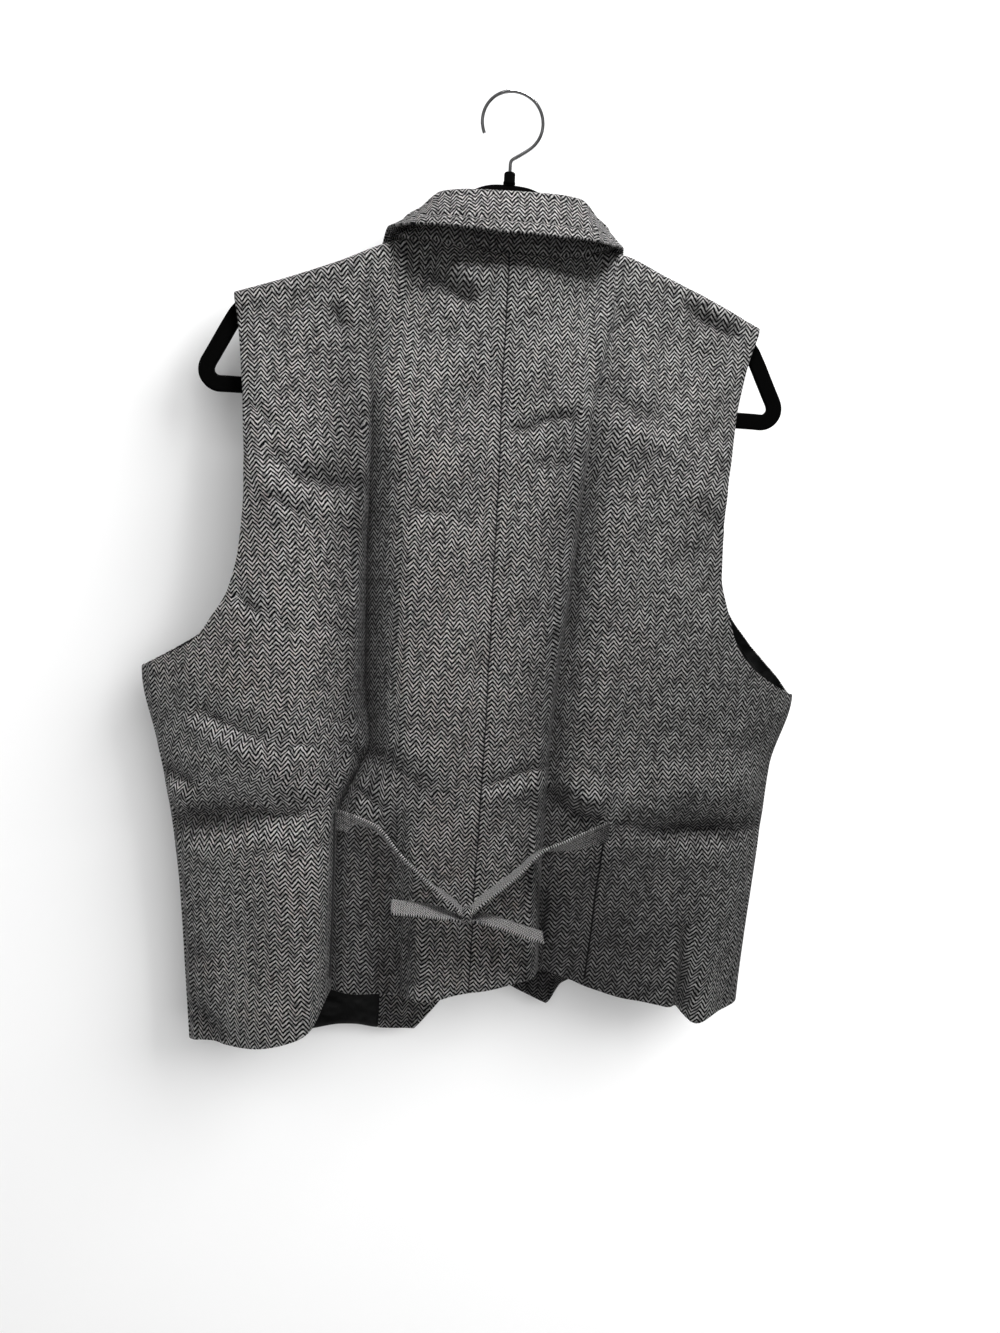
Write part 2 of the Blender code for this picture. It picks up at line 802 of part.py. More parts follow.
def hanger_loop(inset):
    """The hanger's closed outline, moved in from its outer line."""
    half = smooth_line(HANGER_LINE, 2)
    outline = half + [(-x, z) for x, z in reversed(half[1:-1])]
    moved = []
    for i, (x, z) in enumerate(outline):
        x0, z0 = outline[i - 1]
        x1, z1 = outline[(i + 1) % len(outline)]
        length = math.hypot(x1 - x0, z1 - z0)
        moved.append((x - (z0 - z1) / length * inset, z - (x1 - x0) / length * inset))
    return moved


def build_hanger_body(velvet, collection):
    curve = bpy.data.curves.new("hanger_body", "CURVE")
    curve.dimensions = "2D"
    curve.fill_mode = "BOTH"
    curve.extrude = (HANGER_THICKNESS / 2 - HANGER_BEVEL) * MM
    curve.bevel_depth = HANGER_BEVEL * MM
    curve.bevel_resolution = 0
    for inset in (HANGER_BEVEL, HANGER_BAND - HANGER_BEVEL):
        outline = hanger_loop(inset)
        spline = curve.splines.new("POLY")
        spline.points.add(len(outline) - 1)
        for point, (x, z) in zip(spline.points, outline):
            point.co = (x * MM, z * MM, 0.0, 1.0)
        spline.use_cyclic_u = True
    made = add_object("hanger_body", curve, velvet, collection)
    made.rotation_euler = (math.pi / 2, 0.0, 0.0)
    made.location = (0.0, 0.0, -APEX_BELOW_CROWN * MM)
    return made


def build_hanger_neck(velvet, collection):
    stub = bmesh.new()
    bmesh.ops.create_cone(
        stub,
        cap_ends=True,
        segments=24,
        radius1=NECK_STUB_WIDTH / 2 * MM,
        radius2=NECK_STUB_WIDTH / 2 * NECK_STUB_TAPER * MM,
        depth=NECK_STUB_HEIGHT * MM,
    )
    mesh = bpy.data.meshes.new("hanger_neck")
    stub.to_mesh(mesh)
    stub.free()
    mesh.shade_smooth()
    mesh.set_sharp_from_angle(angle=math.radians(40))
    made = add_object("hanger_neck", mesh, velvet, collection)
    made.location = (0.0, 0.0, (-APEX_BELOW_CROWN + SEAM_GAP + NECK_STUB_HEIGHT / 2) * MM)
    return made


def bezier(start, leave, arrive, end, t):
    """A point on a cubic curve, as x and z."""
    weights = ((1 - t) ** 3, 3 * (1 - t) ** 2 * t, 3 * (1 - t) * t**2, t**3)
    corners = (start, leave, arrive, end)
    return tuple(sum(weight * corner[i] for weight, corner in zip(weights, corners)) for i in range(2))


def hook_line():
    """Middle line of the hook: a shank, a swan bend and most of a circle round the rail."""
    radius = HOOK_INNER_RADIUS + HOOK_WIRE / 2
    first, last = (math.radians(angle) for angle in HOOK_ARC_DEGREES)
    foot_z = -APEX_BELOW_CROWN + NECK_STUB_HEIGHT + 2 * SEAM_GAP
    shank_top = (0.0, foot_z + HOOK_SHANK)
    leave = (0.0, foot_z + 2 * HOOK_SHANK)
    arc = []
    for i in range(HOOK_ARC_STEPS + 1):
        angle = mix(first, last, i / HOOK_ARC_STEPS)
        arc.append((radius * math.cos(angle), -HOOK_INNER_RADIUS + radius * math.sin(angle)))
    arrive = (arc[0][0] + HOOK_BEND_PULL * math.sin(first), arc[0][1] - HOOK_BEND_PULL * math.cos(first))
    bend = [bezier(shank_top, leave, arrive, arc[0], i / HOOK_BEND_STEPS) for i in range(HOOK_BEND_STEPS)]
    return [(0.0, foot_z), *bend, *arc]


def build_hook(steel, collection):
    curve = bpy.data.curves.new("hanger_hook", "CURVE")
    curve.dimensions = "3D"
    curve.bevel_depth = HOOK_WIRE / 2 * MM
    curve.bevel_resolution = 2
    curve.use_fill_caps = True
    line = hook_line()
    spline = curve.splines.new("POLY")
    spline.points.add(len(line) - 1)
    for point, (x, z) in zip(spline.points, line):
        point.co = (x * MM, 0.0, z * MM, 1.0)
    return add_object("hanger_hook", curve, steel, collection)


def main():
    for old in list(bpy.data.objects):
        bpy.data.objects.remove(old)
    collection = bpy.data.collections.new("herringbone_vest")
    bpy.context.scene.collection.children.link(collection)
    cloth = make_material("herringbone_cloth", (0.11, 0.108, 0.108), 0.9)
    lining = make_material("black_lining", (0.008, 0.008, 0.009), 0.35)
    plastic = make_material("button_plastic", (0.02, 0.02, 0.02), 0.4)
    velvet = make_material("hanger_velvet", (0.004, 0.004, 0.004), 0.95)
    steel = make_material("hook_steel", (0.8, 0.8, 0.8), 0.2, 1.0)
    build_backs(cloth, collection)
    build_fronts(cloth, lining, collection)
    build_collar(cloth, collection)
    build_lapels(cloth, collection)
    build_ties(cloth, collection)
    build_knot(cloth, collection)
    build_buttons(plastic, collection)
    build_hanger_body(velvet, collection)
    build_hanger_neck(velvet, collection)
    build_hook(steel, collection)


main()
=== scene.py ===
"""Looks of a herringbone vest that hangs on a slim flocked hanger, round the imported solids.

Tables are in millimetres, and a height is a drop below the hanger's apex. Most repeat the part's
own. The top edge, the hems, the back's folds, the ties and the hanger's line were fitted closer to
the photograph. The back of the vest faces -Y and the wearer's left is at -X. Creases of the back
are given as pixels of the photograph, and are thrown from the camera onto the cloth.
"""
import math
from collections import namedtuple

import bpy
import numpy as np
from mathutils import Matrix
from mathutils import noise as smooth_noise

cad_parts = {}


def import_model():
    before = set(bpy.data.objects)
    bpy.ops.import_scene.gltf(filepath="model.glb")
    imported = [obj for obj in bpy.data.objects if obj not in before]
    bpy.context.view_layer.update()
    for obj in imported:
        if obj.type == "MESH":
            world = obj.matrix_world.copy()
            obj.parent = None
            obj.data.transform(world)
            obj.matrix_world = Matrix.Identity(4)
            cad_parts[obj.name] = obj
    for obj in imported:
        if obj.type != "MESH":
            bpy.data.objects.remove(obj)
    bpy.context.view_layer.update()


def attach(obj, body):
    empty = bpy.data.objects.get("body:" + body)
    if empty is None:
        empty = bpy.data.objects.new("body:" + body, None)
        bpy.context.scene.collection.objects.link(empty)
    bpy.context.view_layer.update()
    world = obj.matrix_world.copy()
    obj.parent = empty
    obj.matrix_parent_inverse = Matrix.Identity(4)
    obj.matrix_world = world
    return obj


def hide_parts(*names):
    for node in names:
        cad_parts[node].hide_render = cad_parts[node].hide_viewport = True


MM = 0.001
SIDES = {-1: "left", 1: "right"}
BACKWARD = (0, -1, 0)
FORWARD = (0, 1, 0)
UPWARD = np.array([0.0, 0.0, 1.0])
LEVEL = np.array([1.0, 1.0, 0.0])

# Driving dimensions of the part, in millimetres
APEX_BELOW_CROWN = 66.0
SEAM_GAP = 0.3
INSIDE_GAP = 0.6
CLOTH = 2.0
FRONT_CLOTH = 1.8
FACING_CLOTH = 1.2
LINING_CLOTH = 1.0
NECK_HALF = 82.0
NECK_RING = 22.0
SHOULDER_TIP = 197.0
SHOULDER_ROUND = 8.0
NECK_SOFTENING = 22.0
UNDERARM_DROP = 370.0
HEM_LEVEL = 665.0
SECTION_POWER = 3.0
SIDE_FADE = 0.5
HANG_REACH = 160.0
LAP_LIFT = 4.8
LAP_RISE_START = 45.0
LAP_RISE_END = 19.0
BUTTON_RADIUS = 7.5
BUTTON_HEIGHT = 3.0
BUTTON_GAP = 0.6
BUTTON_DROPS = (285.0, 380.0, 475.0, 562.0)
HANGER_THICKNESS = 5.0
HANGER_BAND = 12.0
HOOK_WIRE = 3.2
HOOK_INNER_RADIUS = 21.0
HOOK_ARC_DEGREES = (-52.0, 205.0)
HOOK_SHANK = 5.0
HOOK_BEND_PULL = 14.0
NECK_STUB_WIDTH = 9.0
NECK_STUB_HEIGHT = 9.0

# The photograph's frame and the camera fitted to it
PHOTO_SIZE = (1000.0, 1333.0)
FOCAL_PIXELS = 1301.7
SENSOR = 36.0
CAMERA_YAW = math.radians(6.847)
CAMERA_PITCH = math.radians(-5.0)
CAMERA_ROLL = math.radians(3.356)
CAMERA_DISTANCE = 1000.0
CAMERA_TARGET = (14.25, 0.0, -424.8)

# Where pixels meet the back: the first guess of its depth, and how it is corrected
BACK_GUESS = -40.0
BACK_CORRECTIONS = 8
BACK_CORRECTION = 0.5

# Grids of the shells: columns across and rows down, and where the columns crowd
BACK_GRID = (144, 318)
FRONT_GRID = (84, 170)
FACING_GRID = (24, 140)
LINING_GRID = (56, 140)
COLLAR_GRID = (150, 44)
LAPEL_GRID = (30, 60)
TIE_GRID = (12, 90)
SEAM_COLUMNS = (0.0, 0.002, 0.005, 0.009)
AFTER_SEAM_COLUMNS = 0.014
FACING_SHARE = 1 / 3
FACING_SHARES = (0.0, FACING_SHARE)
LINING_SHARES = (FACING_SHARE + 0.005, 11 / 12)
INSIDE_ROWS = (0.175, 1.0)
SIDE_CROWDING = 1.3
FOLD_COLUMN = 0.46
FOLD_CROWDING = 1.5
FOLD_EVENNESS = 0.25

# How panels bend to their top edge and hem, and the finer forms of their cloth
TOP_BEND = 3
HEM_BEND = 4
NECK_ROUNDNESS = 0.8
EDGE_ROUND = 0.35
CENTRE_FOLD = 0.4
SEAM_DIP = 1.1
SEAM_DIP_REACH = 1.4
NO_SEAM = 10.0

# Profile of a crease, in half widths from its line, and small rumples as size and height
CORNER_CUTS = 2
CORNER_SHARES = (0.25, 0.75)
CREASE_REACH = 5
TROUGH_LIFT = 0.45
TROUGH_ROUND = 0.2
RIDGE_AWAY = 2.1
RIDGE_WIDTH = 1.3
CREASE_SIDE_FADE = 0.25
RUMPLES = ((30.0, 3.4), (14.0, 1.1))
RUMPLE_LEAN = 0.45
RUMPLE_LENGTHENING = 0.6
RUMPLE_EDGE = 25.0
BACK_SEED = 3.7
FRONT_SEED = 8.3

# Painted shade and light: how far the cloth's colour darkens in its folds and lightens on ridges, and how
# far the facings' colour is darkened for the shade of the inside
PAINTED_SHADE_DEPTH = 27.0
PAINTED_SHADE_POWER = 0.65
PAINTED_SHADE_CREASES = 2.0
PAINTED_RIDGE_LIGHT = -0.25
FACING_PAINTED_SHADE = {"left": 0.55, "right": 0.95}

# Stitches: a direction that none of them follows, and widths along one
STITCH_ACROSS = (0.31, 0.17, 0.93)
STITCH_PROFILE = [(0.0, 0.3), (0.12, 0.8), (0.5, 1.0), (0.88, 0.8), (1.0, 0.3)]
STITCH_SIDES = 8
STITCH_STEP = 3.3
STITCH_LENGTH = 2.3
STITCH_RADIUS = 0.5


def rows_of(kind, rows):
    return [kind(*row) for row in rows]


# The top edge of the panels: the neck seam out to the neck point, then the shoulder seam
TopEdge = namedtuple("TopEdge", "x left right")
TOP_EDGE = rows_of(TopEdge, [
    (0, 57, 57), (20, 55, 56), (45, 49.5, 52), (65, 46.5, 48), (82, 49.5, 45), (122, 67, 59),
    (158, 81.5, 74), (197, 95.5, 91),
])

# Drops of the panels' rows at the outer edge
RowDrop = namedtuple("RowDrop", "share drop")
OUTER_ROWS = rows_of(RowDrop, [(0.05, 107), (0.36, 285), (0.52, UNDERARM_DROP)])

# Half widths of the whole body and its depth behind and before the hanger's plane
Body = namedtuple("Body", "drop left right back front")
BODY = rows_of(Body, [
    (91, 214, 212, 24, 22), (200, 226, 224, 37, 33), (300, 244, 238, 42, 38), (370, 252, 245, 44, 40),
    (426, 239, 231, 43, 40), (464, 230, 228, 41, 39), (530, 219, 223, 39, 37), (590, 213, 219, 38, 36),
    (665, 206, 216, 38, 36),
])

# The armhole edges of the back and the fronts, from the shoulder tip to the underarm
Armhole = namedtuple("Armhole", "drop back_left back_right front_left front_right")
ARMHOLE = rows_of(Armhole, [
    (91, 197, 197, 197, 197), (134, 190, 186, 188, 190), (173, 186, 180, 181, 186),
    (245, 181, 173, 174, 182), (281, 183, 173, 175, 188), (310, 189, 180, 183, 199),
    (330, 200, 188, 197, 213), (346, 211, 201, 214, 227), (360, 233, 222, 235, 239),
    (370, 252, 245, 252, 245),
])

# Hem lines, as the drop at a place across the body
Hem = namedtuple("Hem", "x drop")
BACK_HEM = rows_of(Hem, [
    (-206, 654), (-196, 651), (-165, 648), (-128, 637), (-117, 630), (-104, 609), (-73, 609),
    (-40, 611), (-4, 603), (20, 598), (59, 591), (77, 596), (95, 603), (120, 610), (166, 618),
    (180, 627), (193, 622), (216, 616),
])
FRONT_HEM = rows_of(Hem, [
    (-206, 654), (-160, 660), (-118, 659), (-90, 655), (-60, 659), (-34, 659), (72, 636), (84, 618),
    (110, 606), (150, 610), (216, 616),
])

# The open edge of each front: neck, break, centre front, then the cutaway to the point
OpenEdge = namedtuple("OpenEdge", "drop x")
LEFT_OPEN_EDGE = rows_of(OpenEdge, [
    (51, -82), (105, -63), (200, -22), (262, 20), (275, 23), (400, 27), (575, 32), (590, 23),
    (659, -34),
])
RIGHT_OPEN_EDGE = rows_of(OpenEdge, [
    (45, 82), (105, 64), (200, 29), (262, -4), (275, -7), (400, -3), (575, 2), (590, 15), (636, 72),
])

# Where each facing meets its lining, and the centre front line on which the buttons lie
LEFT_FACING_EDGE = rows_of(OpenEdge, [(100, -118), (200, -86), (275, -64), (659, -63)])
RIGHT_FACING_EDGE = rows_of(OpenEdge, [(100, 118), (200, 92), (275, 80), (636, 101)])
CENTRE_FRONT = rows_of(OpenEdge, [(45, 0), (275, 8), (660, 19)])
OPEN_EDGE = {-1: LEFT_OPEN_EDGE, 1: RIGHT_OPEN_EDGE}
FACING_EDGE = {-1: LEFT_FACING_EDGE, 1: RIGHT_FACING_EDGE}

# Large folds of the back: the line each follows, its height outward and its reach to each side.
# The two valleys are sharp at the bottom; the rest are round.
Fold = namedtuple("Fold", "drop x height left right")


def folds_of(tables):
    return {name: rows_of(Fold, rows) for name, rows in tables.items()}


BACK_FOLDS = folds_of({
    "left valley": [
        (70, -100, 0, 6, 14), (97, -98.5, -4, 6, 14), (153, -95, -10, 6, 17), (203, -92.5, -18, 8, 25),
        (268, -92, -25, 10, 33), (327, -90, -28, 12, 36), (380, -87.5, -30, 16, 37),
        (417, -84, -29, 14, 36), (440, -90, -24, 12, 36), (472, -104, -20, 9, 40),
        (516, -105, -20, 8, 46), (610, -104, -20, 8, 50),
    ],
    "recess": [
        (440, -62, 0, 30, 16), (490, -60, -9, 36, 16), (560, -56, -14, 40, 17), (615, -53, -16, 42, 17),
    ],
    "left panel ridge": [(450, -124, 0, 56, 14), (540, -120, 8, 62, 12), (650, -124, 17, 66, 14)],
    "right valley": [
        (80, 86, 0, 8, 24), (106, 80, -5, 8, 24), (160, 71, -7, 9, 28), (215, 66, -13, 9, 28),
        (260, 63, -14, 9, 28), (318, 58.5, -14, 9, 30), (371, 54, -14, 9, 32), (416, 52, -14, 10, 32),
        (462, 51, -14, 10, 42), (530, 52, -16, 10, 60), (600, 54, -19, 10, 70),
    ],
    "right corner fold": [(530, 170, 0, 10, 10), (580, 170, -5, 10, 10), (615, 168, -9, 10, 10)],
    "right corner ridge": [(540, 186, 0, 14, 16), (615, 184, 7, 14, 18)],
    "right waist buckle": [
        (410, 190, 0, 70, 40), (440, 190, 5, 70, 40), (470, 190, -4, 70, 40), (500, 190, 0, 70, 40),
    ],
    "left waist buckle": [
        (415, -185, 0, 40, 80), (435, -185, 5, 40, 80), (464, -185, -6, 40, 80), (500, -185, 0, 40, 80),
    ],
})
SHARP_FOLDS = ("left valley", "right valley")
FRONT_FOLDS = folds_of({
    "left chest": [
        (120, -120, 0, 40, 40), (260, -110, -6, 36, 44), (420, -104, -4, 36, 44),
        (520, -110, 0, 40, 40),
    ],
    "left hem wave": [(480, -150, 0, 40, 40), (655, -150, -9, 40, 40)],
    "right chest": [(120, 118, 0, 40, 40), (280, 112, -5, 40, 36), (440, 118, 0, 40, 40)],
    "right hem wave": [(470, 128, 0, 44, 44), (620, 120, -12, 40, 44)],
})

# Softer swells of the back between its large folds
BACK_SWELLS = folds_of({
    "below the collar": [
        (53, 0, 0, 70, 70), (60, 0, 5, 78, 78), (72, 0, 9, 82, 82), (105, 0, 8, 84, 84),
        (170, 0, 0, 84, 84),
    ],
    "left panel": [
        (110, -170, 0, 40, 60), (220, -162, 8, 40, 64), (380, -150, 14, 92, 66),
        (470, -150, 12, 80, 56), (600, -150, 4, 50, 40),
    ],
    "left roll": [
        (110, -104, 0, 60, 10), (200, -99, -7, 58, 10), (260, -98, -9, 60, 10), (386, -94, -10, 58, 10),
        (440, -96, -7, 54, 10), (500, -116, 0, 40, 10),
    ],
    "centre panel": [
        (100, -20, 0, 60, 70), (260, -24, 5, 60, 80), (420, -26, 6, 58, 78), (490, -22, 2, 50, 74),
        (545, -20, 0, 40, 74), (600, -20, 2, 30, 74),
    ],
    "right roll": [
        (120, 80, 0, 50, 16), (260, 64, -5, 54, 18), (400, 54, -6, 50, 20), (470, 52, -4, 40, 20),
        (600, 56, -2, 30, 20),
    ],
    "below the waist": [
        (420, 120, 2, 110, 100), (450, 112, 3, 90, 100), (480, 104, -3, 60, 100),
        (530, 98, -9, 50, 100), (610, 96, -16, 50, 100),
    ],
})

# Creases: a line, the trough's depth and half width, and ridges beside it as shares of the depth,
# on the left and right hand of someone who walks the line. A negative depth is a ridge.
Crease = namedtuple("Crease", "places depth width left_ridge right_ridge")
BACK_CREASES = rows_of(Crease, [
    ([(327, 301), (335, 313), (343, 331)], 4, 5, 0.5, 0.0),
    ([(430, 262), (439, 277), (452, 292), (478, 305)], 6, 6, 0.7, 0.0),
    ([(440, 325), (462, 345), (484, 358)], 2.5, 8.5, 0.0, 0.0),
    ([(473, 380), (462, 415), (451, 455)], 3, 7.5, 0.4, 0.0),
    ([(424, 336), (420, 410), (418, 477)], -2.5, 16, 0.0, 0.0),
    ([(332, 381), (343, 388), (353, 394)], 2.5, 6, 0.0, 0.2),
    ([(356, 412), (366, 420)], 2.5, 3.5, 0.0, 0.3),
    ([(408, 507), (430, 513), (451, 516)], 3, 5, 0.0, 0.4),
    ([(250, 403), (262, 416), (274, 431)], 3, 3.5, 0.4, 0.3),
    ([(265, 445), (283, 466), (301, 480), (334, 487), (367, 487)], 6, 7.5, 0.0, 0.6),
    ([(271, 496), (290, 508), (310, 522)], 3, 4, 0.2, 0.4),
    ([(238, 594), (249, 604), (260, 615)], 4, 3.5, 0.3, 0.4),
    ([(274, 614), (287, 626), (300, 638)], 2.5, 4, 0.2, 0.3),
    ([(320, 621), (335, 630), (352, 643)], 3, 3.5, 0.2, 0.4),
    ([(680, 300), (700, 320), (718, 331), (738, 338)], 5, 6, 0.6, 0.0),
    ([(508, 434), (528, 430), (545, 421), (582, 416)], 4, 5, 0.5, 0.2),
    ([(512, 410), (522, 414)], 2, 3.5, 0.0, 0.2),
    ([(530, 460), (548, 463), (570, 468)], 2.5, 5, 0.2, 0.3),
    ([(601, 385), (615, 400), (640, 416), (675, 425)], 4, 8.5, 0.0, 0.6),
    ([(627, 427), (650, 440), (675, 455)], -2, 7, 0.0, 0.0),
    ([(690, 505), (705, 518), (722, 529)], 3, 7, 0.0, 0.2),
    ([(192, 706), (230, 722), (270, 741)], 7.2, 6, 0.1, 0.8),
    ([(287, 743), (303, 744), (321, 742)], 3, 3.5, 0.1, 0.2),
    ([(326, 724), (339, 722), (352, 726)], 2.5, 3.5, 0.0, 0.2),
    ([(160, 764), (180, 772), (200, 784)], 7, 6, 0.2, 0.8),
    ([(160, 818), (200, 815), (240, 810), (278, 809), (312, 818)], 10.2, 8.5, 0.4, 0.4),
    ([(160, 826), (205, 829), (250, 830)], 5, 7.5, 0.0, 0.4),
    ([(298, 858), (312, 851), (327, 840)], 3, 4, 0.0, 0.0),
    ([(247, 850), (268, 850), (290, 849)], 2, 4, 0.0, 0.2),
    ([(186, 940), (197, 955), (210, 966)], 4, 7, 0.0, 0.2),
    ([(192, 995), (205, 1018), (222, 1040)], 5, 7.5, 0.3, 0.3),
    ([(343, 738), (352, 751), (360, 766)], 4.2, 3.5, 0.4, 0.2),
    ([(360, 768), (351, 780), (342, 792)], 4, 3.5, 0.8, 0.2),
    ([(356, 789), (371, 800), (386, 811)], 4, 3.5, 0.3, 0.4),
    ([(364, 752), (390, 762), (410, 778), (429, 796)], 5, 7.5, 0.5, 0.0),
    ([(480, 790), (500, 781), (519, 774), (551, 766)], 4.5, 5, 0.3, 0.6),
    ([(551, 786), (562, 800), (578, 813), (605, 821)], 7.2, 6, 0.5, 0.0),
    ([(679, 674), (674, 688), (668, 702)], 1.5, 3.5, 0.0, 0.0),
    ([(690, 800), (730, 803), (768, 808)], -3, 9, 0.0, 0.0),
    ([(610, 826), (660, 828), (710, 828), (762, 826)], 6.5, 7.5, 0.0, 0.4),
    ([(414, 905), (414, 950), (414, 992)], 4.2, 3.5, 0.6, 0.0),
    ([(545, 890), (544, 935), (543, 972)], 4, 3.5, 0.0, 0.0),
    ([(592, 937), (612, 950), (635, 966)], 2.5, 8.5, 0.0, 0.0),
    ([(684, 925), (682, 965), (681, 1008)], 4.2, 3.5, 0.8, 0.2),
])

# Creases of the fronts, at x and drop in millimetres, much like those of the back
FRONT_CREASES = rows_of(Crease, [
    ([(-178, 300), (-150, 322), (-112, 334)], 3.5, 7, 0.3, 0.4),
    ([(-172, 262), (-150, 282), (-128, 290)], 2.5, 5, 0.2, 0.4),
    ([(-226, 452), (-180, 458), (-120, 466)], 5.5, 9, 0.4, 0.6),
    ([(-232, 412), (-196, 424), (-160, 430)], 3.5, 7, 0.2, 0.5),
    ([(-96, 402), (-50, 392), (0, 386)], 2.5, 8, 0.3, 0.4),
    ([(-90, 486), (-40, 480), (4, 478)], 2.0, 7, 0.3, 0.3),
    ([(-150, 130), (-128, 160), (-118, 190)], 2.5, 8, 0.4, 0.0),
    ([(174, 290), (150, 316), (118, 330)], 3.5, 7, 0.4, 0.3),
    ([(222, 460), (176, 466), (126, 470)], 5.0, 9, 0.6, 0.4),
    ([(226, 420), (196, 430), (164, 434)], 3.0, 7, 0.5, 0.2),
    ([(96, 398), (64, 388), (36, 384)], 2.0, 8, 0.4, 0.3),
    ([(150, 128), (130, 156), (118, 186)], 2.5, 8, 0.0, 0.4),
])

# Darts of the back, as pixels of the photograph
BACK_DARTS = {
    -1: [(332, 812), (331, 870), (329, 930), (327, 980)],
    1: [(607, 825), (600, 878), (595, 922), (588, 986)],
}

# Stations of the collar's right half, from the centre back to its end on the front
CollarStation = namedtuple(
    "CollarStation", "seam_x seam_y seam_drop fold_x fold_y fold_drop edge_x edge_y edge_drop"
)
COLLAR = rows_of(CollarStation, [
    (0, -24.3, 56.4, 0, -30.0, 18, 0, -47.0, 43), (30, -22.8, 54.0, 30, -28.5, 18, 31, -45.0, 43.5),
    (54, -18.8, 49.0, 49, -22.0, 18.5, 60, -37.0, 44), (71, -13.4, 45.0, 63, -12.0, 28, 78, -23.0, 45),
    (80, -4.5, 42.0, 73, -1.0, 33, 87, -5.0, 42.6), (78, 7.0, 43.5, 73, 10.0, 40, 92, 13.5, 53),
    (73, 15.0, 60, 71, 17.5, 58, 102, 19.0, 72), (64, 20.5, 88, 63, 23.0, 86.5, 108, 24.5, 98),
])
COLLAR_TILT = 0.03
CollarShift = namedtuple("CollarShift", "place drop")
COLLAR_EDGE_SHIFT = rows_of(CollarShift, [
    (-1.0, 0.0), (-0.71, -2.0), (-0.57, -4.8), (-0.43, -5.5), (-0.286, -2.9), (-0.143, -0.2),
    (0.0, 2.6), (0.143, 2.6), (0.286, 1.7), (0.43, 0.5), (1.0, 0.0),
])

# Where the collar is sewn to the neck, how it rolls over, and its topstitching
COLLAR_ON_NECK = (0.29, 0.43)
COLLAR_ROLL_FADE = (0.45, 0.75)
COLLAR_ROLL_END = 0.35
COLLAR_ROLL = 4.0
COLLAR_STAND_END = 0.36
COLLAR_ROLL_FINISH = 0.56
COLLAR_STITCH_SHARE = 0.7
COLLAR_STITCH_END = 0.93
COLLAR_STITCH_DIP = 1.0
COLLAR_FALL = 28.0
COLLAR_GROOVE = 0.4
COLLAR_STITCH_WIDTH = 0.05
COLLAR_STITCH_SAMPLES = 900
COLLAR_STITCH_STRIP = np.array([-0.01, 0.0, 0.01])
COLLAR_LEAN = np.array([0.0, -0.01, 0.02])

# The lapels: the roll line's drop, and how far the lapel reaches from it
Lapel = namedtuple("Lapel", "drop reach lower")
LAPEL = rows_of(Lapel, [
    (96, 57, 13), (125, 58, 7), (170, 50, 4), (210, 33, 2), (237, 14, 0),
])
LAPEL_CLOTH = 1.8
LAPEL_ROLL = 3.0
LAPEL_LIFT = 2.0
LAPEL_ROLL_REACH = 0.87

# What each cloth piece was cut to, in metres along and across the grain and square metres, and what
# holds it
Cut = namedtuple("Cut", "width length area held rests_on")

# Waist ties: the band's edge that shows, as a pixel at a depth, the band's turn from upright, past
# flat, to face up, and its width
Tie = namedtuple("Tie", "px py y turn band")
LEFT_TIE = rows_of(Tie, [
    (329, 808.5, -26, 8, 15), (345, 812.5, -30, 12, 15), (358, 817.5, -35, 30, 15),
    (375.5, 826, -43, 66, 15), (402, 857, -51, 76, 15), (429, 884, -56, 82, 15),
    (444.5, 899, -57.5, 94, 15), (465, 917, -57, 106, 8),
])
RIGHT_TIE = rows_of(Tie, [
    (609, 822, -46, 8, 15), (590, 830.5, -48, 22, 15), (563, 843, -51, 58, 15),
    (546, 850, -53.5, 74, 15), (534, 860, -55, 84, 15), (521, 874, -56.5, 90, 15),
    (488.5, 900.5, -58, 98, 15), (470, 915, -57.5, 106, 8),
])
LEFT_END = rows_of(Tie, [
    (464, 922, -57, 96, 6), (448, 920, -58, 108, 11), (427, 917, -58, 114, 14),
    (392, 914, -57.5, 116, 15),
])
RIGHT_END = rows_of(Tie, [
    (471, 921.5, -57, 96, 7), (482, 923.5, -58, 108, 12), (492, 926, -58, 110, 13),
    (517, 934.5, -57.5, 110, 13), (543.5, 943, -57, 110, 13),
])
TIES = {"tie_left": LEFT_TIE, "tie_right": RIGHT_TIE, "tie_end_left": LEFT_END, "tie_end_right": RIGHT_END}
TieStation = namedtuple("TieStation", "share x y drop turn band")

# The ties' cloth, with a painted highlight along the band and painted shade at its root, then the knot and
# loose threads
TIE_CLOTH = 2.4
TIE_PAINTED_HIGHLIGHT = -1.5
TIE_ROOT_PAINTED_SHADE = 0.9
TIE_ROOT_FADE = 3.5
TIE_FINER_WEAVE = 1.8
KNOT_PLACE = (467, 914.5)
KNOT_DEPTH = -54.5
KNOT_HALF = (4.6, 5.0, 6.8)
KNOT_GRID = (64, 33)
KNOT_TIP = 0.08
KNOT_PLEAT = 0.1
KNOT_PLEATS = 3
KNOT_TWIST = 4
KNOT_DOTS = [(462.5, 922.5), (470.0, 922.5)]
KNOT_DOT_DEPTH = -60.0
KNOT_THREAD = np.array([0.0, 1.6, 0.6])
KNOT_THREAD_RADIUS = 0.9
LOOSE_THREAD = [(606.4, 808.5), (605.6, 816.5)]
LOOSE_THREAD_DEPTH = -46.5
LOOSE_THREAD_RADIUS = 0.55

# The hanger's outer line, from the apex to the middle of the bottom bar
HANGER_LINE = [
    (0, 0), (16, -1.5), (30, -8), (47, -22), (64, -38), (84, -54), (122, -68.6), (158, -83),
    (186, -94.5), (197, -102), (204, -113), (210, -124.6), (215.5, -135.3), (219.3, -142.7),
    (220.9, -148.6), (220.3, -154.7), (217.4, -160), (212.8, -164), (207, -166), (198, -166),
    (180, -166), (100, -166), (0, -166),
]
HANGER_STEPS = 8
HANGER_BEVEL = 1.6
HANGER_BEVEL_STEPS = 3
HANGER_INSET_KEPT = 0.985

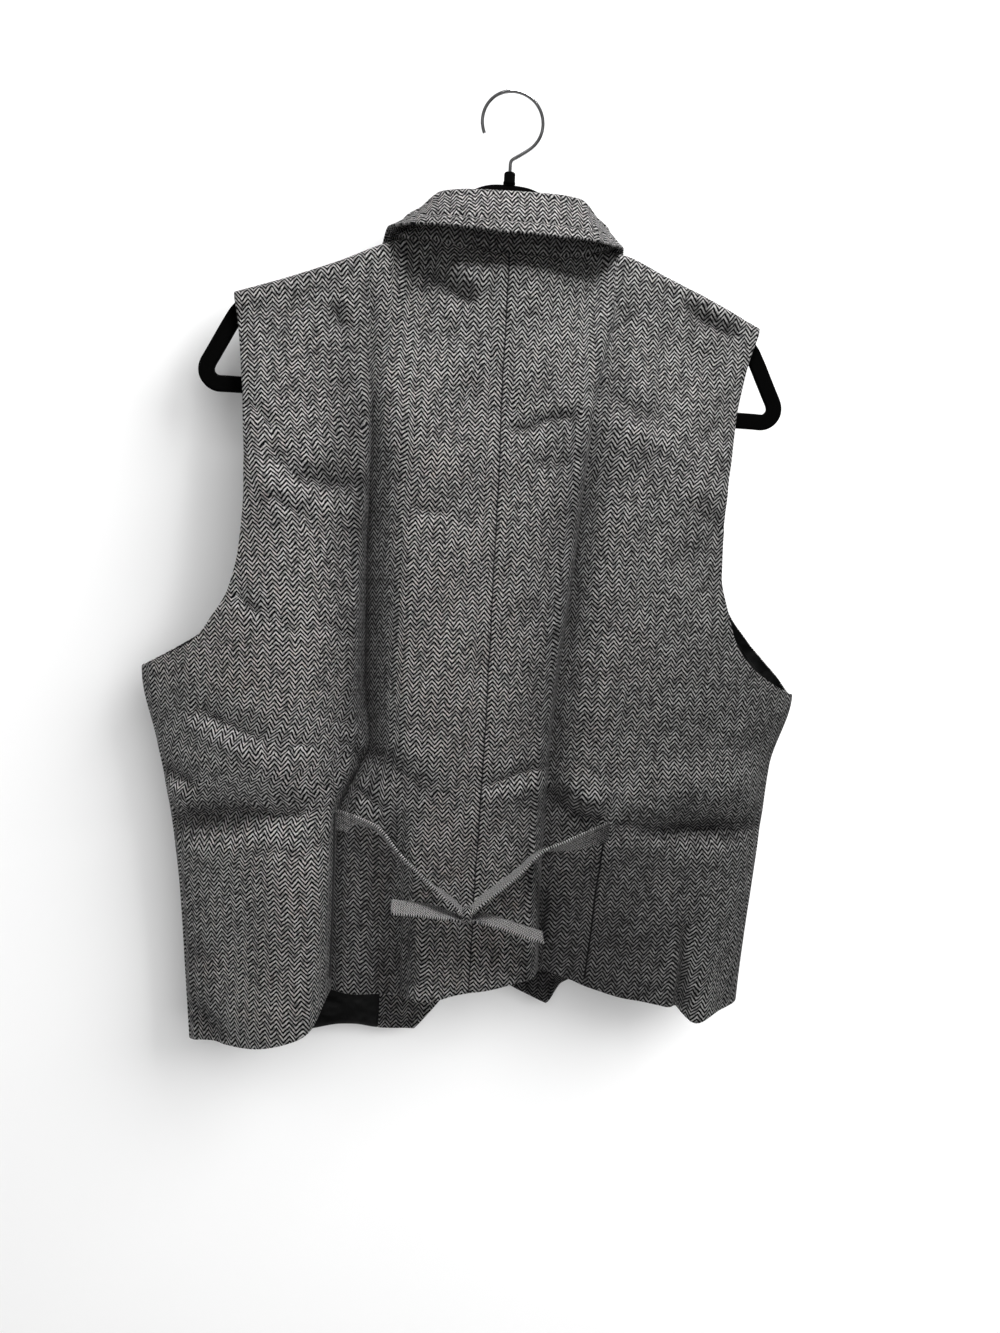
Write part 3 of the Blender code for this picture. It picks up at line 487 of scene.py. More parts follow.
# The hanger's neck stub: its inset from full width at heights from the foot, and from the top down
NECK_FOOT = [(0.3, 0.0), (0.0, 0.3), (0.0, 1.6), (0.35, 2.4)]
NECK_HEAD = [(0.35, 1.6), (0.6, 0.6), (1.5, 0.0)]
NECK_STEPS = 48
LATHE_CORE = 0.5
HOOK_ARC_POINTS = 97
HOOK_BEND_POINTS = 24
HOOK_BEVEL_STEPS = 6

# The buttons: the rim's inset at heights, then rings across the dished face with its holes
BUTTON_DISH = 2.1
BUTTON_RIM = [
    (1.2, 0.0), (0.3, 0.5), (0.0, 1.3), (0.15, 2.2), (0.7, 2.8), (1.3, BUTTON_HEIGHT), (1.9, 2.8),
    (2.6, 2.3), (3.4, BUTTON_DISH),
]
BUTTON_FACE_INSET = 3.6
BUTTON_FACE_CORE = 0.2
BUTTON_FACE_RINGS = 28
BUTTON_STEPS = 96
BUTTON_HOLES = [(-1.4, -1.4), (-1.4, 1.4), (1.4, -1.4), (1.4, 1.4)]
BUTTON_HOLE_DEPTH = 1.4
BUTTON_HOLE_RADII = (0.6, 0.95)
BUTTON_THREAD_LIFT = 0.1
BUTTON_THREAD_RADIUS = 0.5

# The weave, in millimetres of cloth, with how far noise of a scale moves its columns and stripes.
# Slubs in the yarn and fuzz on it are noise of a scale and a detail.
WEAVE_HALF_PERIOD = 4.4
WEAVE_PITCH = 3.3
WEAVE_SLOPE = 1.2
WEAVE_DRIFT_ACROSS = (0.03, 2.0)
WEAVE_DRIFT_ALONG = (0.04, 2.4)
WEAVE_WOBBLE = (0.14, 1.8)
WEAVE_DRIFT_DETAIL = 1.0
WEAVE_SLUB = (0.6, 2.0)
WEAVE_YARN = (-0.2, 0.5, 0.0, 1.0)
WEAVE_SEAM = (0.35, 1.15, 0.05, 1.0)
WEAVE_STREAKS = (0.22, 0.012, 0.0)
# How strongly the painted shade and light change the cloth's colour
WEAVE_PAINTED_SHADE = -0.7
WEAVE_FUZZ = (2.2, 3.0)
WEAVE_FUZZ_SHARE = 0.5
WOOL = {"Roughness": 0.92, "Sheen Weight": 0.12, "Sheen Roughness": 0.5, "Specular IOR Level": 0.2}
WOOL_COLOURS = ((0.004, 0.004, 0.005), (0.95, 0.934, 0.926))
WOOL_BUMP = (0.35, 0.0005)

# Tones that vary over a surface: the noise's scale and detail, and the range it is spread to
Uneven = namedtuple("Uneven", "scale detail low high")
NOISE_RANGE = (0.3, 0.7)
TO_BOTH_SIDES = (2.0, -1.0)
STREAK = Uneven(1.0, 3.0, 0.9, 1.05)
CLOUD = Uneven(0.025, 2.0, 0.92, 1.05)
FLECK = Uneven(0.36, 3.0, 0.3, 1.2)
SMEAR = Uneven(140.0, 3.0, 0.1, 0.24)

# The satin lining: thread stretched down the cloth and ripples, as noise of a scale and a detail
SATIN = {"Roughness": 0.38, "Sheen Weight": 0.05, "Specular IOR Level": 0.35}
SATIN_COLOURS = ((0.002, 0.002, 0.0022), (0.011, 0.011, 0.0115))
SATIN_STRETCH = (1.6, 0.2, 0.0)
SATIN_THREAD = (1.0, 3.0)
SATIN_RIPPLE = (0.06, 2.0)
SATIN_RIPPLE_HEIGHT = 24.0
SATIN_BUMP = (0.5, 0.0004)

# The hook's steel, whose smears also dull it
STEEL = {"Roughness": 0.16, "Metallic": 1.0}
STEEL_COLOURS = ((0.66, 0.66, 0.67), (0.8, 0.8, 0.81))

# Materials that follow one fine noise: the shader's values, the noise, two colours and the bump
Grain = namedtuple("Grain", "values scale detail roughness dark light bump")
FLOCK = {"Roughness": 0.95, "Sheen Weight": 0.02, "Sheen Roughness": 0.4, "Specular IOR Level": 0.05}
THREAD = {"Roughness": 0.8, "Sheen Weight": 0.2}
HORN = {"Roughness": 0.32}
GRAINS = {
    "cotton_thread": Grain(
        THREAD, 1800.0, 2.0, 0.5, (0.16, 0.157, 0.154), (0.5, 0.49, 0.48), (0.4, 0.0002)
    ),
    "black_flock": Grain(
        FLOCK, 2600.0, 3.0, 0.5, (0.001, 0.001, 0.001), (0.007, 0.007, 0.007), (0.5, 0.0003)
    ),
    "button_horn": Grain(
        HORN, 160.0, 4.0, 0.6, (0.006, 0.006, 0.006), (0.05, 0.046, 0.042), (0.08, 0.0003)
    ),
}

# The stage and its lights, in metres, watts and degrees
WALL_Y = 0.058
FLOOR_Z = -1.5
STAGE_HALF = 3.0
FLOOR_PAINT = {"Roughness": 0.8, "Base Color": (0.85, 0.85, 0.85, 1.0)}
WALL_PAINT = {"Roughness": 0.9, "Base Color": (0.9, 0.9, 0.9, 1.0), "Specular IOR Level": 0.0}
Light = namedtuple("Light", "position target size power spread")
VEST_LIGHTS = {
    "key": Light((0.17, -0.52, 0.6), (0.02, 0.0, -0.25), 0.3, 6.2, 180.0),
    "low left": Light((-0.55, -1.3, -0.2), (-0.21, 0.0, -0.5), 0.5, 0.14, 26.0),
    "fill": Light((-0.2, -2.2, 0.3), (0.0, 0.0, -0.36), 1.6, 1.0, 180.0),
    "far side": Light((0.5, 1.9, 0.5), (0.0, 0.0, -0.36), 1.4, 26.0, 180.0),
}
WALL_LIGHTS = {
    "wall light": Light((1.2, -1.3, 0.7), (0.0, 0.0, -0.36), 1.5, 46.0, 180.0),
    "wall fill": Light((0.2, -2.4, 0.2), (0.0, 0.0, -0.36), 2.2, 58.0, 180.0),
}
STUDIO_COLOUR = (1.0, 1.0, 1.0, 1.0)
STUDIO_STRENGTH = 0.06


# Reading tables and blending


def read(rows, at, column):
    """A column of a table at a value of its first column, smooth and without overshoot."""
    keys = np.array([row[0] for row in rows], float)
    values = np.array([getattr(row, column) for row in rows], float)
    steps = np.diff(keys)
    rises = np.diff(values) / steps
    slopes = np.zeros_like(values)
    for i in range(1, len(values) - 1):
        if rises[i - 1] * rises[i] > 0:
            slopes[i] = 2.0 / (1.0 / rises[i - 1] + 1.0 / rises[i])
    slopes[0] = rises[0]
    slopes[-1] = rises[-1]
    at = np.clip(at, keys[0], keys[-1])
    i = np.clip(np.searchsorted(keys, at, side="right") - 1, 0, len(steps) - 1)
    t = (at - keys[i]) / steps[i]
    start = values[i] * (1 + 2 * t) * (1 - t) ** 2 + slopes[i] * steps[i] * t * (1 - t) ** 2
    end = values[i + 1] * (3 - 2 * t) * t**2 - slopes[i + 1] * steps[i] * (1 - t) * t**2
    return start + end


def mix(low, high, share):
    return low + (high - low) * share


def side_spacing(share):
    """Columns closer together towards the side seam, where the section rounds."""
    return 1 - (1 - share) ** SIDE_CROWDING


def ramp(value, low, high):
    """A soft step from 0 at low to 1 at high."""
    t = np.clip((value - low) / (high - low), 0.0, 1.0)
    return t * t * (3 - 2 * t)


def world(x, y, drop):
    """Points in metres in the part's frame, from millimetres below the hanger's apex."""
    return np.stack([x, y, -APEX_BELOW_CROWN - drop], axis=-1) * MM


def unit(vectors):
    return vectors / np.linalg.norm(vectors, axis=-1, keepdims=True)


# The body's form


def top_line(x):
    return np.where(x < 0, read(TOP_EDGE, np.abs(x), "left"), read(TOP_EDGE, np.abs(x), "right"))


def body_lens(x, drop):
    """How the section rounds towards the side seams: 1 in the middle and 0 at the seams."""
    half = np.where(x < 0, read(BODY, drop, "left"), read(BODY, drop, "right"))
    return np.sqrt(np.maximum(0.0, 1 - (np.abs(x) / half) ** SECTION_POWER))


def fold_height(folds, x, drop):
    """How far the folds move the cloth outward."""
    total = np.zeros_like(x)
    for name, rows in folds.items():
        centre = read(rows, drop, "x")
        reach = np.where(x < centre, read(rows, drop, "left"), read(rows, drop, "right"))
        away = np.clip(np.abs(x - centre) / reach, 0.0, 1.0)
        profile = (1 - away) ** 2 if name in SHARP_FOLDS else (1 - away**2) ** 2
        total += read(rows, drop, "height") * profile
    return total


def body_depth(x, drop, column, ring_depth, folds):
    """Distance of the cloth's inner face from the hanger's plane."""
    below = np.maximum(drop - top_line(x), 0.0)
    ring = ring_depth * np.maximum(0.0, 1 - (x / NECK_HALF) ** 2) ** NECK_ROUNDNESS
    near = np.minimum(below / SHOULDER_ROUND, 1.0)
    rounded = SHOULDER_ROUND * np.sqrt(1 - (1 - near) ** 2)
    at_top = ring + rounded * ramp(np.abs(x), NECK_HALF - NECK_SOFTENING, NECK_HALF)
    lens = body_lens(x, drop)
    hanging = read(BODY, drop, column) * lens
    fold_share = np.minimum(1.0, lens / SIDE_FADE)
    depth = mix(at_top, hanging, ramp(below, 0.0, HANG_REACH))
    return depth + fold_height(folds, x, drop) * fold_share + SEAM_GAP / 2


def nearest_on_line(line, x, drop):
    """Distance from a line with its side as the sign, and the share of the line at the nearest point."""
    best = np.full(x.shape, np.inf)
    signed = np.zeros_like(x)
    share = np.zeros_like(x)
    lengths = np.hypot(*np.diff(line, axis=0).T)
    starts = np.concatenate([[0.0], np.cumsum(lengths)])
    for k, (first, last) in enumerate(zip(line, line[1:])):
        run = last - first
        t = ((x - first[0]) * run[0] + (drop - first[1]) * run[1]) / lengths[k] ** 2
        t = np.clip(t, 0.0, 1.0)
        away = np.hypot(x - first[0] - t * run[0], drop - first[1] - t * run[1])
        side = np.sign(run[0] * (drop - first[1]) - run[1] * (x - first[0]))
        closer = away < best
        best = np.where(closer, away, best)
        signed = np.where(closer, away * side, signed)
        share = np.where(closer, (starts[k] + t * lengths[k]) / starts[-1], share)
    return signed, share


def rounded_line(places):
    """A line along the places, from the first to the last, with its corners cut round."""
    line = np.array(places, float)
    for _ in range(CORNER_CUTS):
        cut = [line[0]]
        for first, last in zip(line, line[1:]):
            cut += [mix(first, last, share) for share in CORNER_SHARES]
        line = np.array([*cut, line[-1]])
    return line


def crease_height(creases, x, drop):
    """How far the creases move the cloth outward."""
    total = np.zeros_like(x)
    for crease in creases:
        line = rounded_line(crease.places)
        margin = CREASE_REACH * crease.width
        low = line.min(axis=0) - margin
        high = line.max(axis=0) + margin
        near = (x > low[0]) & (x < high[0]) & (drop > low[1]) & (drop < high[1])
        if not near.any():
            continue
        away, share = nearest_on_line(line, x[near], drop[near])
        away = away / crease.width
        fade = np.sqrt(np.clip(4 * share * (1 - share), 0.0, 1.0))
        trough = np.exp(TROUGH_LIFT - np.sqrt(away**2 + TROUGH_ROUND))
        left = crease.left_ridge * np.exp(-(((away + RIDGE_AWAY) / RIDGE_WIDTH) ** 2))
        right = crease.right_ridge * np.exp(-(((away - RIDGE_AWAY) / RIDGE_WIDTH) ** 2))
        total[near] += crease.depth * fade * (left + right - trough)
    return total


def rumple_height(x, drop, seed):
    """Small soft unevenness all over the cloth, longer downwards than across."""
    total = np.zeros_like(x)
    for size, height in RUMPLES:
        across = (x + RUMPLE_LEAN * drop) / size
        places = np.stack([across, drop / size * RUMPLE_LENGTHENING, np.full_like(x, seed)], axis=-1)
        values = [smooth_noise.noise(place) for place in places.reshape(-1, 3).tolist()]
        total += height * np.reshape(values, x.shape)
    return total * np.clip((drop - top_line(x)) / RUMPLE_EDGE, 0.0, 1.0)


def crease_share(x, drop):
    """Creases fade out at the side seams, where back and front are sewn together."""
    return np.minimum(1.0, body_lens(x, drop) / CREASE_SIDE_FADE)


def painted_shade_share(folds, creases, x, drop):
    """Painted shade from how deep the cloth lies in its folds: 1 at the bottom of a deep one, and below 0
    on a ridge, where light is painted.
    """
    height = fold_height(folds, x, drop) + PAINTED_SHADE_CREASES * crease_height(creases, x, drop)
    depth = np.clip(-height * crease_share(x, drop) / PAINTED_SHADE_DEPTH, PAINTED_RIDGE_LIGHT, 1.0)
    return np.where(depth > 0, np.abs(depth) ** PAINTED_SHADE_POWER, depth)


# The camera, and what its pixels fall on


def camera_axes():
    """The camera's eye in millimetres, and its right, up and forward directions."""
    forward = np.array([
        math.sin(CAMERA_YAW) * math.cos(CAMERA_PITCH),
        math.cos(CAMERA_YAW) * math.cos(CAMERA_PITCH),
        math.sin(CAMERA_PITCH),
    ])
    level = np.array([math.cos(CAMERA_YAW), -math.sin(CAMERA_YAW), 0.0])
    upright = np.cross(level, forward)
    right = level * math.cos(CAMERA_ROLL) + upright * math.sin(CAMERA_ROLL)
    up = upright * math.cos(CAMERA_ROLL) - level * math.sin(CAMERA_ROLL)
    return np.array(CAMERA_TARGET) - CAMERA_DISTANCE * forward, right, up, forward


def sight_lines(places):
    """The camera's eye, and the directions in which it sees pixels of the photograph."""
    eye, right, up, forward = camera_axes()
    pixels = np.array(places, float)
    across = (pixels[:, 0] - PHOTO_SIZE[0] / 2) / FOCAL_PIXELS
    rise = (PHOTO_SIZE[1] / 2 - pixels[:, 1]) / FOCAL_PIXELS
    return eye, forward + across[:, None] * right + rise[:, None] * up


def at_depth(places, y):
    """Where pixels of the photograph fall at one depth or at a depth each, as x and drop."""
    eye, rays = sight_lines(places)
    reach = (y - eye[1]) / rays[:, 1]
    return eye[0] + reach * rays[:, 0], -APEX_BELOW_CROWN - eye[2] - reach * rays[:, 2]


def on_back(places):
    """Where pixels of the photograph fall on the back's cloth, as x and drop."""
    y = np.full(len(places), BACK_GUESS)
    for _ in range(BACK_CORRECTIONS):
        x, drop = at_depth(places, y)
        met = -body_depth(x, drop, "back", NECK_RING, BACK_FOLDS) - CLOTH
        y = mix(y, met, BACK_CORRECTION)
    return np.stack([x, drop], axis=-1)


def pinned(places, y):
    """Where pixels of the photograph fall at one depth, as points."""
    x, drop = at_depth(places, y)
    return world(x, np.full_like(x, y), drop)


# Panels, as patches between an inner edge, an outer edge, a top edge and a hem


PanelEdge = namedtuple("PanelEdge", "x drop top_x hem_x")


def row_drops(rows, tip_drop, hem_drop):
    """Drops of a panel's rows at its outer edge, from the shoulder tip to the hem."""
    shares = [0.0, *(row.share for row in OUTER_ROWS), 1.0]
    return np.interp(rows, shares, [tip_drop, *(row.drop for row in OUTER_ROWS), hem_drop])


def outer_edge(drop, side, layer):
    armhole = read(ARMHOLE, drop, f"{layer}_{SIDES[side]}")
    return side * np.where(drop < UNDERARM_DROP, armhole, read(BODY, drop, SIDES[side]))


def patch(across, down, inner, outer, hem):
    """Blend four edge lines into one panel; top and hem only bend the cloth near them."""
    x = mix(inner.x, outer.x, across)
    drop = mix(inner.drop, outer.drop, across)
    at_top = mix(top_line(inner.top_x), top_line(outer.top_x), across)
    at_hem = mix(read(hem, inner.hem_x, "drop"), read(hem, outer.hem_x, "drop"), across)
    drop = drop + (1 - down) ** TOP_BEND * (top_line(x) - at_top)
    return x, drop + down**HEM_BEND * (read(hem, x, "drop") - at_hem)


def panel_outer(rows, side, layer, hem):
    """A panel's outer edge, and how far down the panel each row lies."""
    tip_x = side * SHOULDER_TIP
    hem_x = side * read(BODY, HEM_LEVEL, SIDES[side])
    tip_drop = top_line(tip_x)
    hem_drop = read(hem, hem_x, "drop")
    drop = row_drops(rows, tip_drop, hem_drop)
    down = (drop - tip_drop) / (hem_drop - tip_drop)
    return PanelEdge(outer_edge(drop, side, layer), drop, tip_x, hem_x), down


def back_columns(side, share, outer_x, drop):
    """Where a back's columns lie across it: one follows the sharp fold, with others close beside it."""
    fold = BACK_FOLDS[SIDES[side] + " valley"]
    split = read(fold, drop, "x") / outer_x
    within = np.clip(share / FOLD_COLUMN, 0.0, 1.0)
    beyond = np.clip((share - FOLD_COLUMN) / (1 - FOLD_COLUMN), 0.0, 1.0)
    crowded = mix((1 - np.cos(np.pi * beyond)) / 2, beyond, FOLD_EVENNESS)
    return np.where(
        share <= FOLD_COLUMN, split * (1 - (1 - within) ** FOLD_CROWDING), mix(split, 1.0, crowded)
    )


def back_panel(side, share, rows, creases):
    """Inner face of a back panel, as x, y and drop, and where it lay in the flat cloth."""
    seam_x = side * SEAM_GAP / 2
    outer, down = panel_outer(rows, side, "back", BACK_HEM)
    inner_drop = mix(top_line(seam_x), read(BACK_HEM, seam_x, "drop"), down)
    inner = PanelEdge(np.full_like(down, seam_x), inner_drop, seam_x, seam_x)
    across = back_columns(side, share, outer.x, mix(inner_drop, outer.drop, FOLD_COLUMN))
    x, drop = patch(across, down, inner, outer, BACK_HEM)
    sewn = crease_share(x, drop)
    smooth = body_depth(x, drop, "back", NECK_RING, BACK_FOLDS) + fold_height(BACK_SWELLS, x, drop) * sewn
    creased = smooth + (crease_height(creases, x, drop) + rumple_height(x, drop, BACK_SEED)) * sewn
    creased = creased - SEAM_DIP * np.exp(-np.abs(x) / SEAM_DIP_REACH)
    return x, -creased, drop, flat_lengths(x, smooth, drop)


def front_columns(side, share, inner_x, outer_x, inner_drop):
    """Where a front's columns lie across it: first the facing's, then closer towards the side."""
    split = (read(FACING_EDGE[side], inner_drop, "x") - inner_x) / (outer_x - inner_x)
    beyond = np.maximum(share - FACING_SHARE, 0.0) / (1 - FACING_SHARE)
    on_facing = split * share / FACING_SHARE
    return np.where(share <= FACING_SHARE, on_facing, mix(split, 1.0, side_spacing(beyond)))


def front_y(x, drop, side):
    """Depth of a front's inner face; the left front rises where it laps over the right one."""
    lift = 0.0
    if side < 0:
        centre = read(CENTRE_FRONT, drop, "x")
        lift = LAP_LIFT * ramp(x, centre - LAP_RISE_START, centre - LAP_RISE_END)
    depth = body_depth(x, drop, "front", 0.0, FRONT_FOLDS) + lift
    uneven = crease_height(FRONT_CREASES, x, drop) + rumple_height(x, drop, FRONT_SEED)
    return depth + uneven * crease_share(x, drop)


def front_panel(side, share, rows):
    """Inner face of a front panel, as x, y and drop."""
    edge = OPEN_EDGE[side]
    outer, down = panel_outer(rows, side, "front", FRONT_HEM)
    inner_drop = mix(edge[0].drop, edge[-1].drop, down)
    inner = PanelEdge(read(edge, inner_drop, "x"), inner_drop, side * NECK_HALF, edge[-1].x)
    across = front_columns(side, share, inner.x, outer.x, inner_drop)
    x, drop = patch(across, down, inner, outer, FRONT_HEM)
    return x, front_y(x, drop, side), drop


def grid_of(size, share_range=(0.0, 1.0), row_range=(0.0, 1.0)):
    """Shares across and rows down, as two grids."""
    return np.meshgrid(np.linspace(*share_range, size[0] + 1), np.linspace(*row_range, size[1] + 1))


# Shells


def surface_normals(points, outward):
    """Normals of a grid of points, on the side that outward looks to."""
    normals = unit(np.cross(np.gradient(points, axis=1), np.gradient(points, axis=0)))
    return normals * np.sign(np.sum(normals * outward))


def flat_lengths(x, y, drop):
    """Where each point lay in the flat cloth: along the weft from the first column, and down the warp."""
    across = np.hypot(np.diff(x, axis=1), np.diff(y, axis=1)) * np.sign(np.diff(x, axis=1))
    down = np.hypot(np.diff(drop, axis=0), np.diff(y, axis=0))
    u = np.concatenate([x[:, :1], x[:, :1] + np.cumsum(across, axis=1)], axis=1)
    v = np.concatenate([drop[:1], drop[:1] + np.cumsum(down, axis=0)], axis=0)
    return u, v


def border(rows, columns):
    """Row and column of each point round a grid's edge, and of its neighbour further in."""
    top = [((0, j), (1, j)) for j in range(columns)]
    right = [((i, columns - 1), (i, columns - 2)) for i in range(1, rows)]
    bottom = [((rows - 1, j), (rows - 2, j)) for j in range(columns - 2, -1, -1)]
    left = [((i, 0), (i, 1)) for i in range(rows - 2, 0, -1)]
    loop = np.array(top + right + bottom + left)
    return loop[:, 0], loop[:, 1]


def shell(name, inner, outward, thickness, flat, materials, sunk=None):
    """A closed cloth wall on a grid, which is its inner face, with the edges rounded."""
    rows, columns = inner.shape[:2]
    outer = inner + surface_normals(inner, outward) * thickness * MM
    edge, within = border(rows, columns)
    middle = (inner + outer) / 2
    at_edge = middle[edge[:, 0], edge[:, 1]]
    off_edge = unit(at_edge - middle[within[:, 0], within[:, 1]])
    rim = at_edge + off_edge * thickness * EDGE_ROUND * MM
    count = rows * columns
    index = np.arange(count).reshape(rows, columns)
    corners = (index[:-1, :-1], index[:-1, 1:], index[1:, 1:], index[1:, :-1])
    outer_faces = np.stack(corners, axis=-1).reshape(-1, 4)
    inner_faces = outer_faces[:, ::-1] + count
    on_edge = edge[:, 0] * columns + edge[:, 1]
    after = np.roll(on_edge, -1)
    rim_index = 2 * count + np.arange(len(edge))
    rim_after = np.roll(rim_index, -1)
    upper_rim = np.stack([after, on_edge, rim_index, rim_after], axis=-1)
    lower_rim = np.stack([rim_after, rim_index, on_edge + count, after + count], axis=-1)
    faces = np.concatenate([outer_faces, upper_rim, lower_rim, inner_faces])
    across = inner[0, 1] - inner[0, 0]
    down = inner[1, 0] - inner[0, 0]
    if np.dot(np.cross(across, down), outer[0, 0] - inner[0, 0]) < 0:
        faces = faces[:, ::-1]
    points = np.concatenate([outer.reshape(-1, 3), inner.reshape(-1, 3), rim])
    mesh = bpy.data.meshes.new(name)
    mesh.from_pydata(points.tolist(), [], faces.tolist())
    lain = np.stack(flat, axis=-1).reshape(-1, 3)
    lain = np.concatenate([lain, lain, lain[on_edge]])
    mesh.attributes.new("cloth", "FLOAT_VECTOR", "POINT").data.foreach_set("vector", lain.ravel())
    # Painted shade as a mesh attribute: above 0 it darkens the cloth's colour, below 0 it lightens it
    if sunk is not None:
        deep = np.concatenate([sunk.ravel(), sunk.ravel(), sunk.ravel()[on_edge]])
        mesh.attributes.new("sunk", "FLOAT", "POINT").data.foreach_set("value", deep)
    mesh.shade_smooth()
    for material in materials:
        mesh.materials.append(material)
    looks = np.zeros(len(faces), np.int32)
    looks[-len(inner_faces):] = len(materials) - 1
    mesh.polygons.foreach_set("material_index", looks)
    return piece(name, mesh)


def ring_mesh(name, rings, material):
    """Closed surfaces, each through its own rings of points and closed by a flat face at each end."""
    count = rings.shape[0] * rings.shape[1] * rings.shape[2]
    index = np.arange(count).reshape(rings.shape[:3])
    after = np.roll(index, -1, axis=2)
    sides = np.stack((index[:, :-1], after[:, :-1], after[:, 1:], index[:, 1:]), axis=-1).reshape(-1, 4)
    faces = sides.tolist() + index[:, 0, ::-1].tolist() + index[:, -1].tolist()
    mesh = bpy.data.meshes.new(name)
    mesh.from_pydata(rings.reshape(-1, 3).tolist(), [], faces)
    mesh.shade_smooth()
    mesh.materials.append(material)
    return mesh


def stitches(name, starts, ends, radius, thread):
    """Short threads between pairs of points, in one piece."""
    axis = unit(ends - starts)
    side = unit(np.cross(axis, STITCH_ACROSS))
    over = np.cross(axis, side)
    turn = np.linspace(0, 2 * np.pi, STITCH_SIDES, endpoint=False)[:, None]
    around = side[:, None, None] * np.cos(turn) + over[:, None, None] * np.sin(turn)
    shares, widths = np.array(STITCH_PROFILE).T
    middle = starts[:, None] + (ends - starts)[:, None] * shares[:, None]
    rings = middle[:, :, None] + around * (widths * radius * MM)[:, None, None]
    made = piece(name, ring_mesh(name, rings, thread))
    return made


def piece(name, data):
    """An object that rides on the body."""
    made = bpy.data.objects.new(name, data)
    bpy.context.scene.collection.objects.link(made)
    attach(made, "root")
    return made


def stands_for(made, node):
    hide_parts(node)
    return made


def cut_cloth(made, node, with_pieces=()):
    """A cloth piece that stands for a node."""
    stands_for(made, node)


def no_seam(like):
    return np.full_like(like, NO_SEAM)


def plain_flat(x, y, drop):
    """Where cloth without sewn lines lay when it was flat."""
    u, v = flat_lengths(x, y, drop)
    return u, v, no_seam(u)


# Vest panels


def seam_distance(line, x, drop):
    """Signed distance from a sewn line, held far beyond the line's ends."""
    away, share = nearest_on_line(line, x, drop)
    beyond = (share <= 0.0) | (share >= 1.0)
    return np.where(beyond, np.copysign(NO_SEAM, away), np.clip(away, -NO_SEAM, NO_SEAM))


def build_backs(cloth, lining, loose_thread):
    creases = [crease._replace(places=on_back(crease.places)) for crease in BACK_CREASES]
    even_columns = np.linspace(AFTER_SEAM_COLUMNS, 1.0, BACK_GRID[0] + 1 - len(SEAM_COLUMNS))
    rows = np.linspace(0.0, 1.0, BACK_GRID[1] + 1)
    share, row = np.meshgrid(np.concatenate([SEAM_COLUMNS, even_columns]), rows)
    for side, label in SIDES.items():
        x, y, drop, (u, v) = back_panel(side, share, row, creases)
        dart = seam_distance(rounded_line(on_back(BACK_DARTS[side])), x, drop)
        centre = np.abs(x) - CENTRE_FOLD
        seam = np.where(centre < np.abs(dart), centre, dart)
        # Painted shade in the back's folds and creases, and painted light on its ridges
        sunk = painted_shade_share({**BACK_FOLDS, **BACK_SWELLS}, creases, x, drop)
        name = "back_" + label
        points = world(x, y, drop)
        made = shell(name + "_cloth", points, BACKWARD, CLOTH, (u, v, seam), (cloth, lining), sunk)
        cut_cloth(made, name, [loose_thread] if side > 0 else [])


def inside_layer(side, grid, shares):
    """A layer on a front's inner face, as points, and where they lay in the flat cloth."""
    x, y, drop = front_panel(side, *grid_of(grid, shares, INSIDE_ROWS))
    points = world(x, y, drop)
    return points - surface_normals(points, FORWARD) * INSIDE_GAP * MM, plain_flat(x, y, drop)


def build_fronts(cloth, lining):
    for side, label in SIDES.items():
        x, y, drop = front_panel(side, *grid_of(FRONT_GRID))
        # Painted shade in the front's folds and creases, and painted light on its ridges
        sunk = painted_shade_share(FRONT_FOLDS, FRONT_CREASES, x, drop)
        name = "front_" + label
        points = world(x, y, drop)
        flat = plain_flat(x, y, drop)
        made = shell(name + "_cloth", points, FORWARD, FRONT_CLOTH, flat, (cloth, lining), sunk)
        cut_cloth(made, name)
        points, flat = inside_layer(side, FACING_GRID, FACING_SHARES)
        # The facing's colour is darkened all over, painted shade of the vest's inside
        sunk = np.full_like(flat[0], FACING_PAINTED_SHADE[label])
        name = "front_facing_" + label
        made = shell(name + "_cloth", points, BACKWARD, FACING_CLOTH, flat, (cloth,), sunk)
        cut_cloth(made, name)
        points, flat = inside_layer(side, LINING_GRID, LINING_SHARES)
        name = "front_lining_" + label
        made = shell(name + "_satin", points, BACKWARD, LINING_CLOTH, flat, (lining,))
        cut_cloth(made, name)


# Collar and lapels


def collar_rows():
    """Both halves of the collar's stations, keyed by their place from -1 to 1."""
    last = len(COLLAR) - 1
    right = [(i / last, station) for i, station in enumerate(COLLAR)]
    left = [
        (-place, station._replace(seam_x=-station.seam_x, fold_x=-station.fold_x, edge_x=-station.edge_x))
        for place, station in right[1:]
    ]
    keyed = namedtuple("KeyedStation", ("place",) + CollarStation._fields)
    return [keyed(place, *station) for place, station in sorted(left + right)]


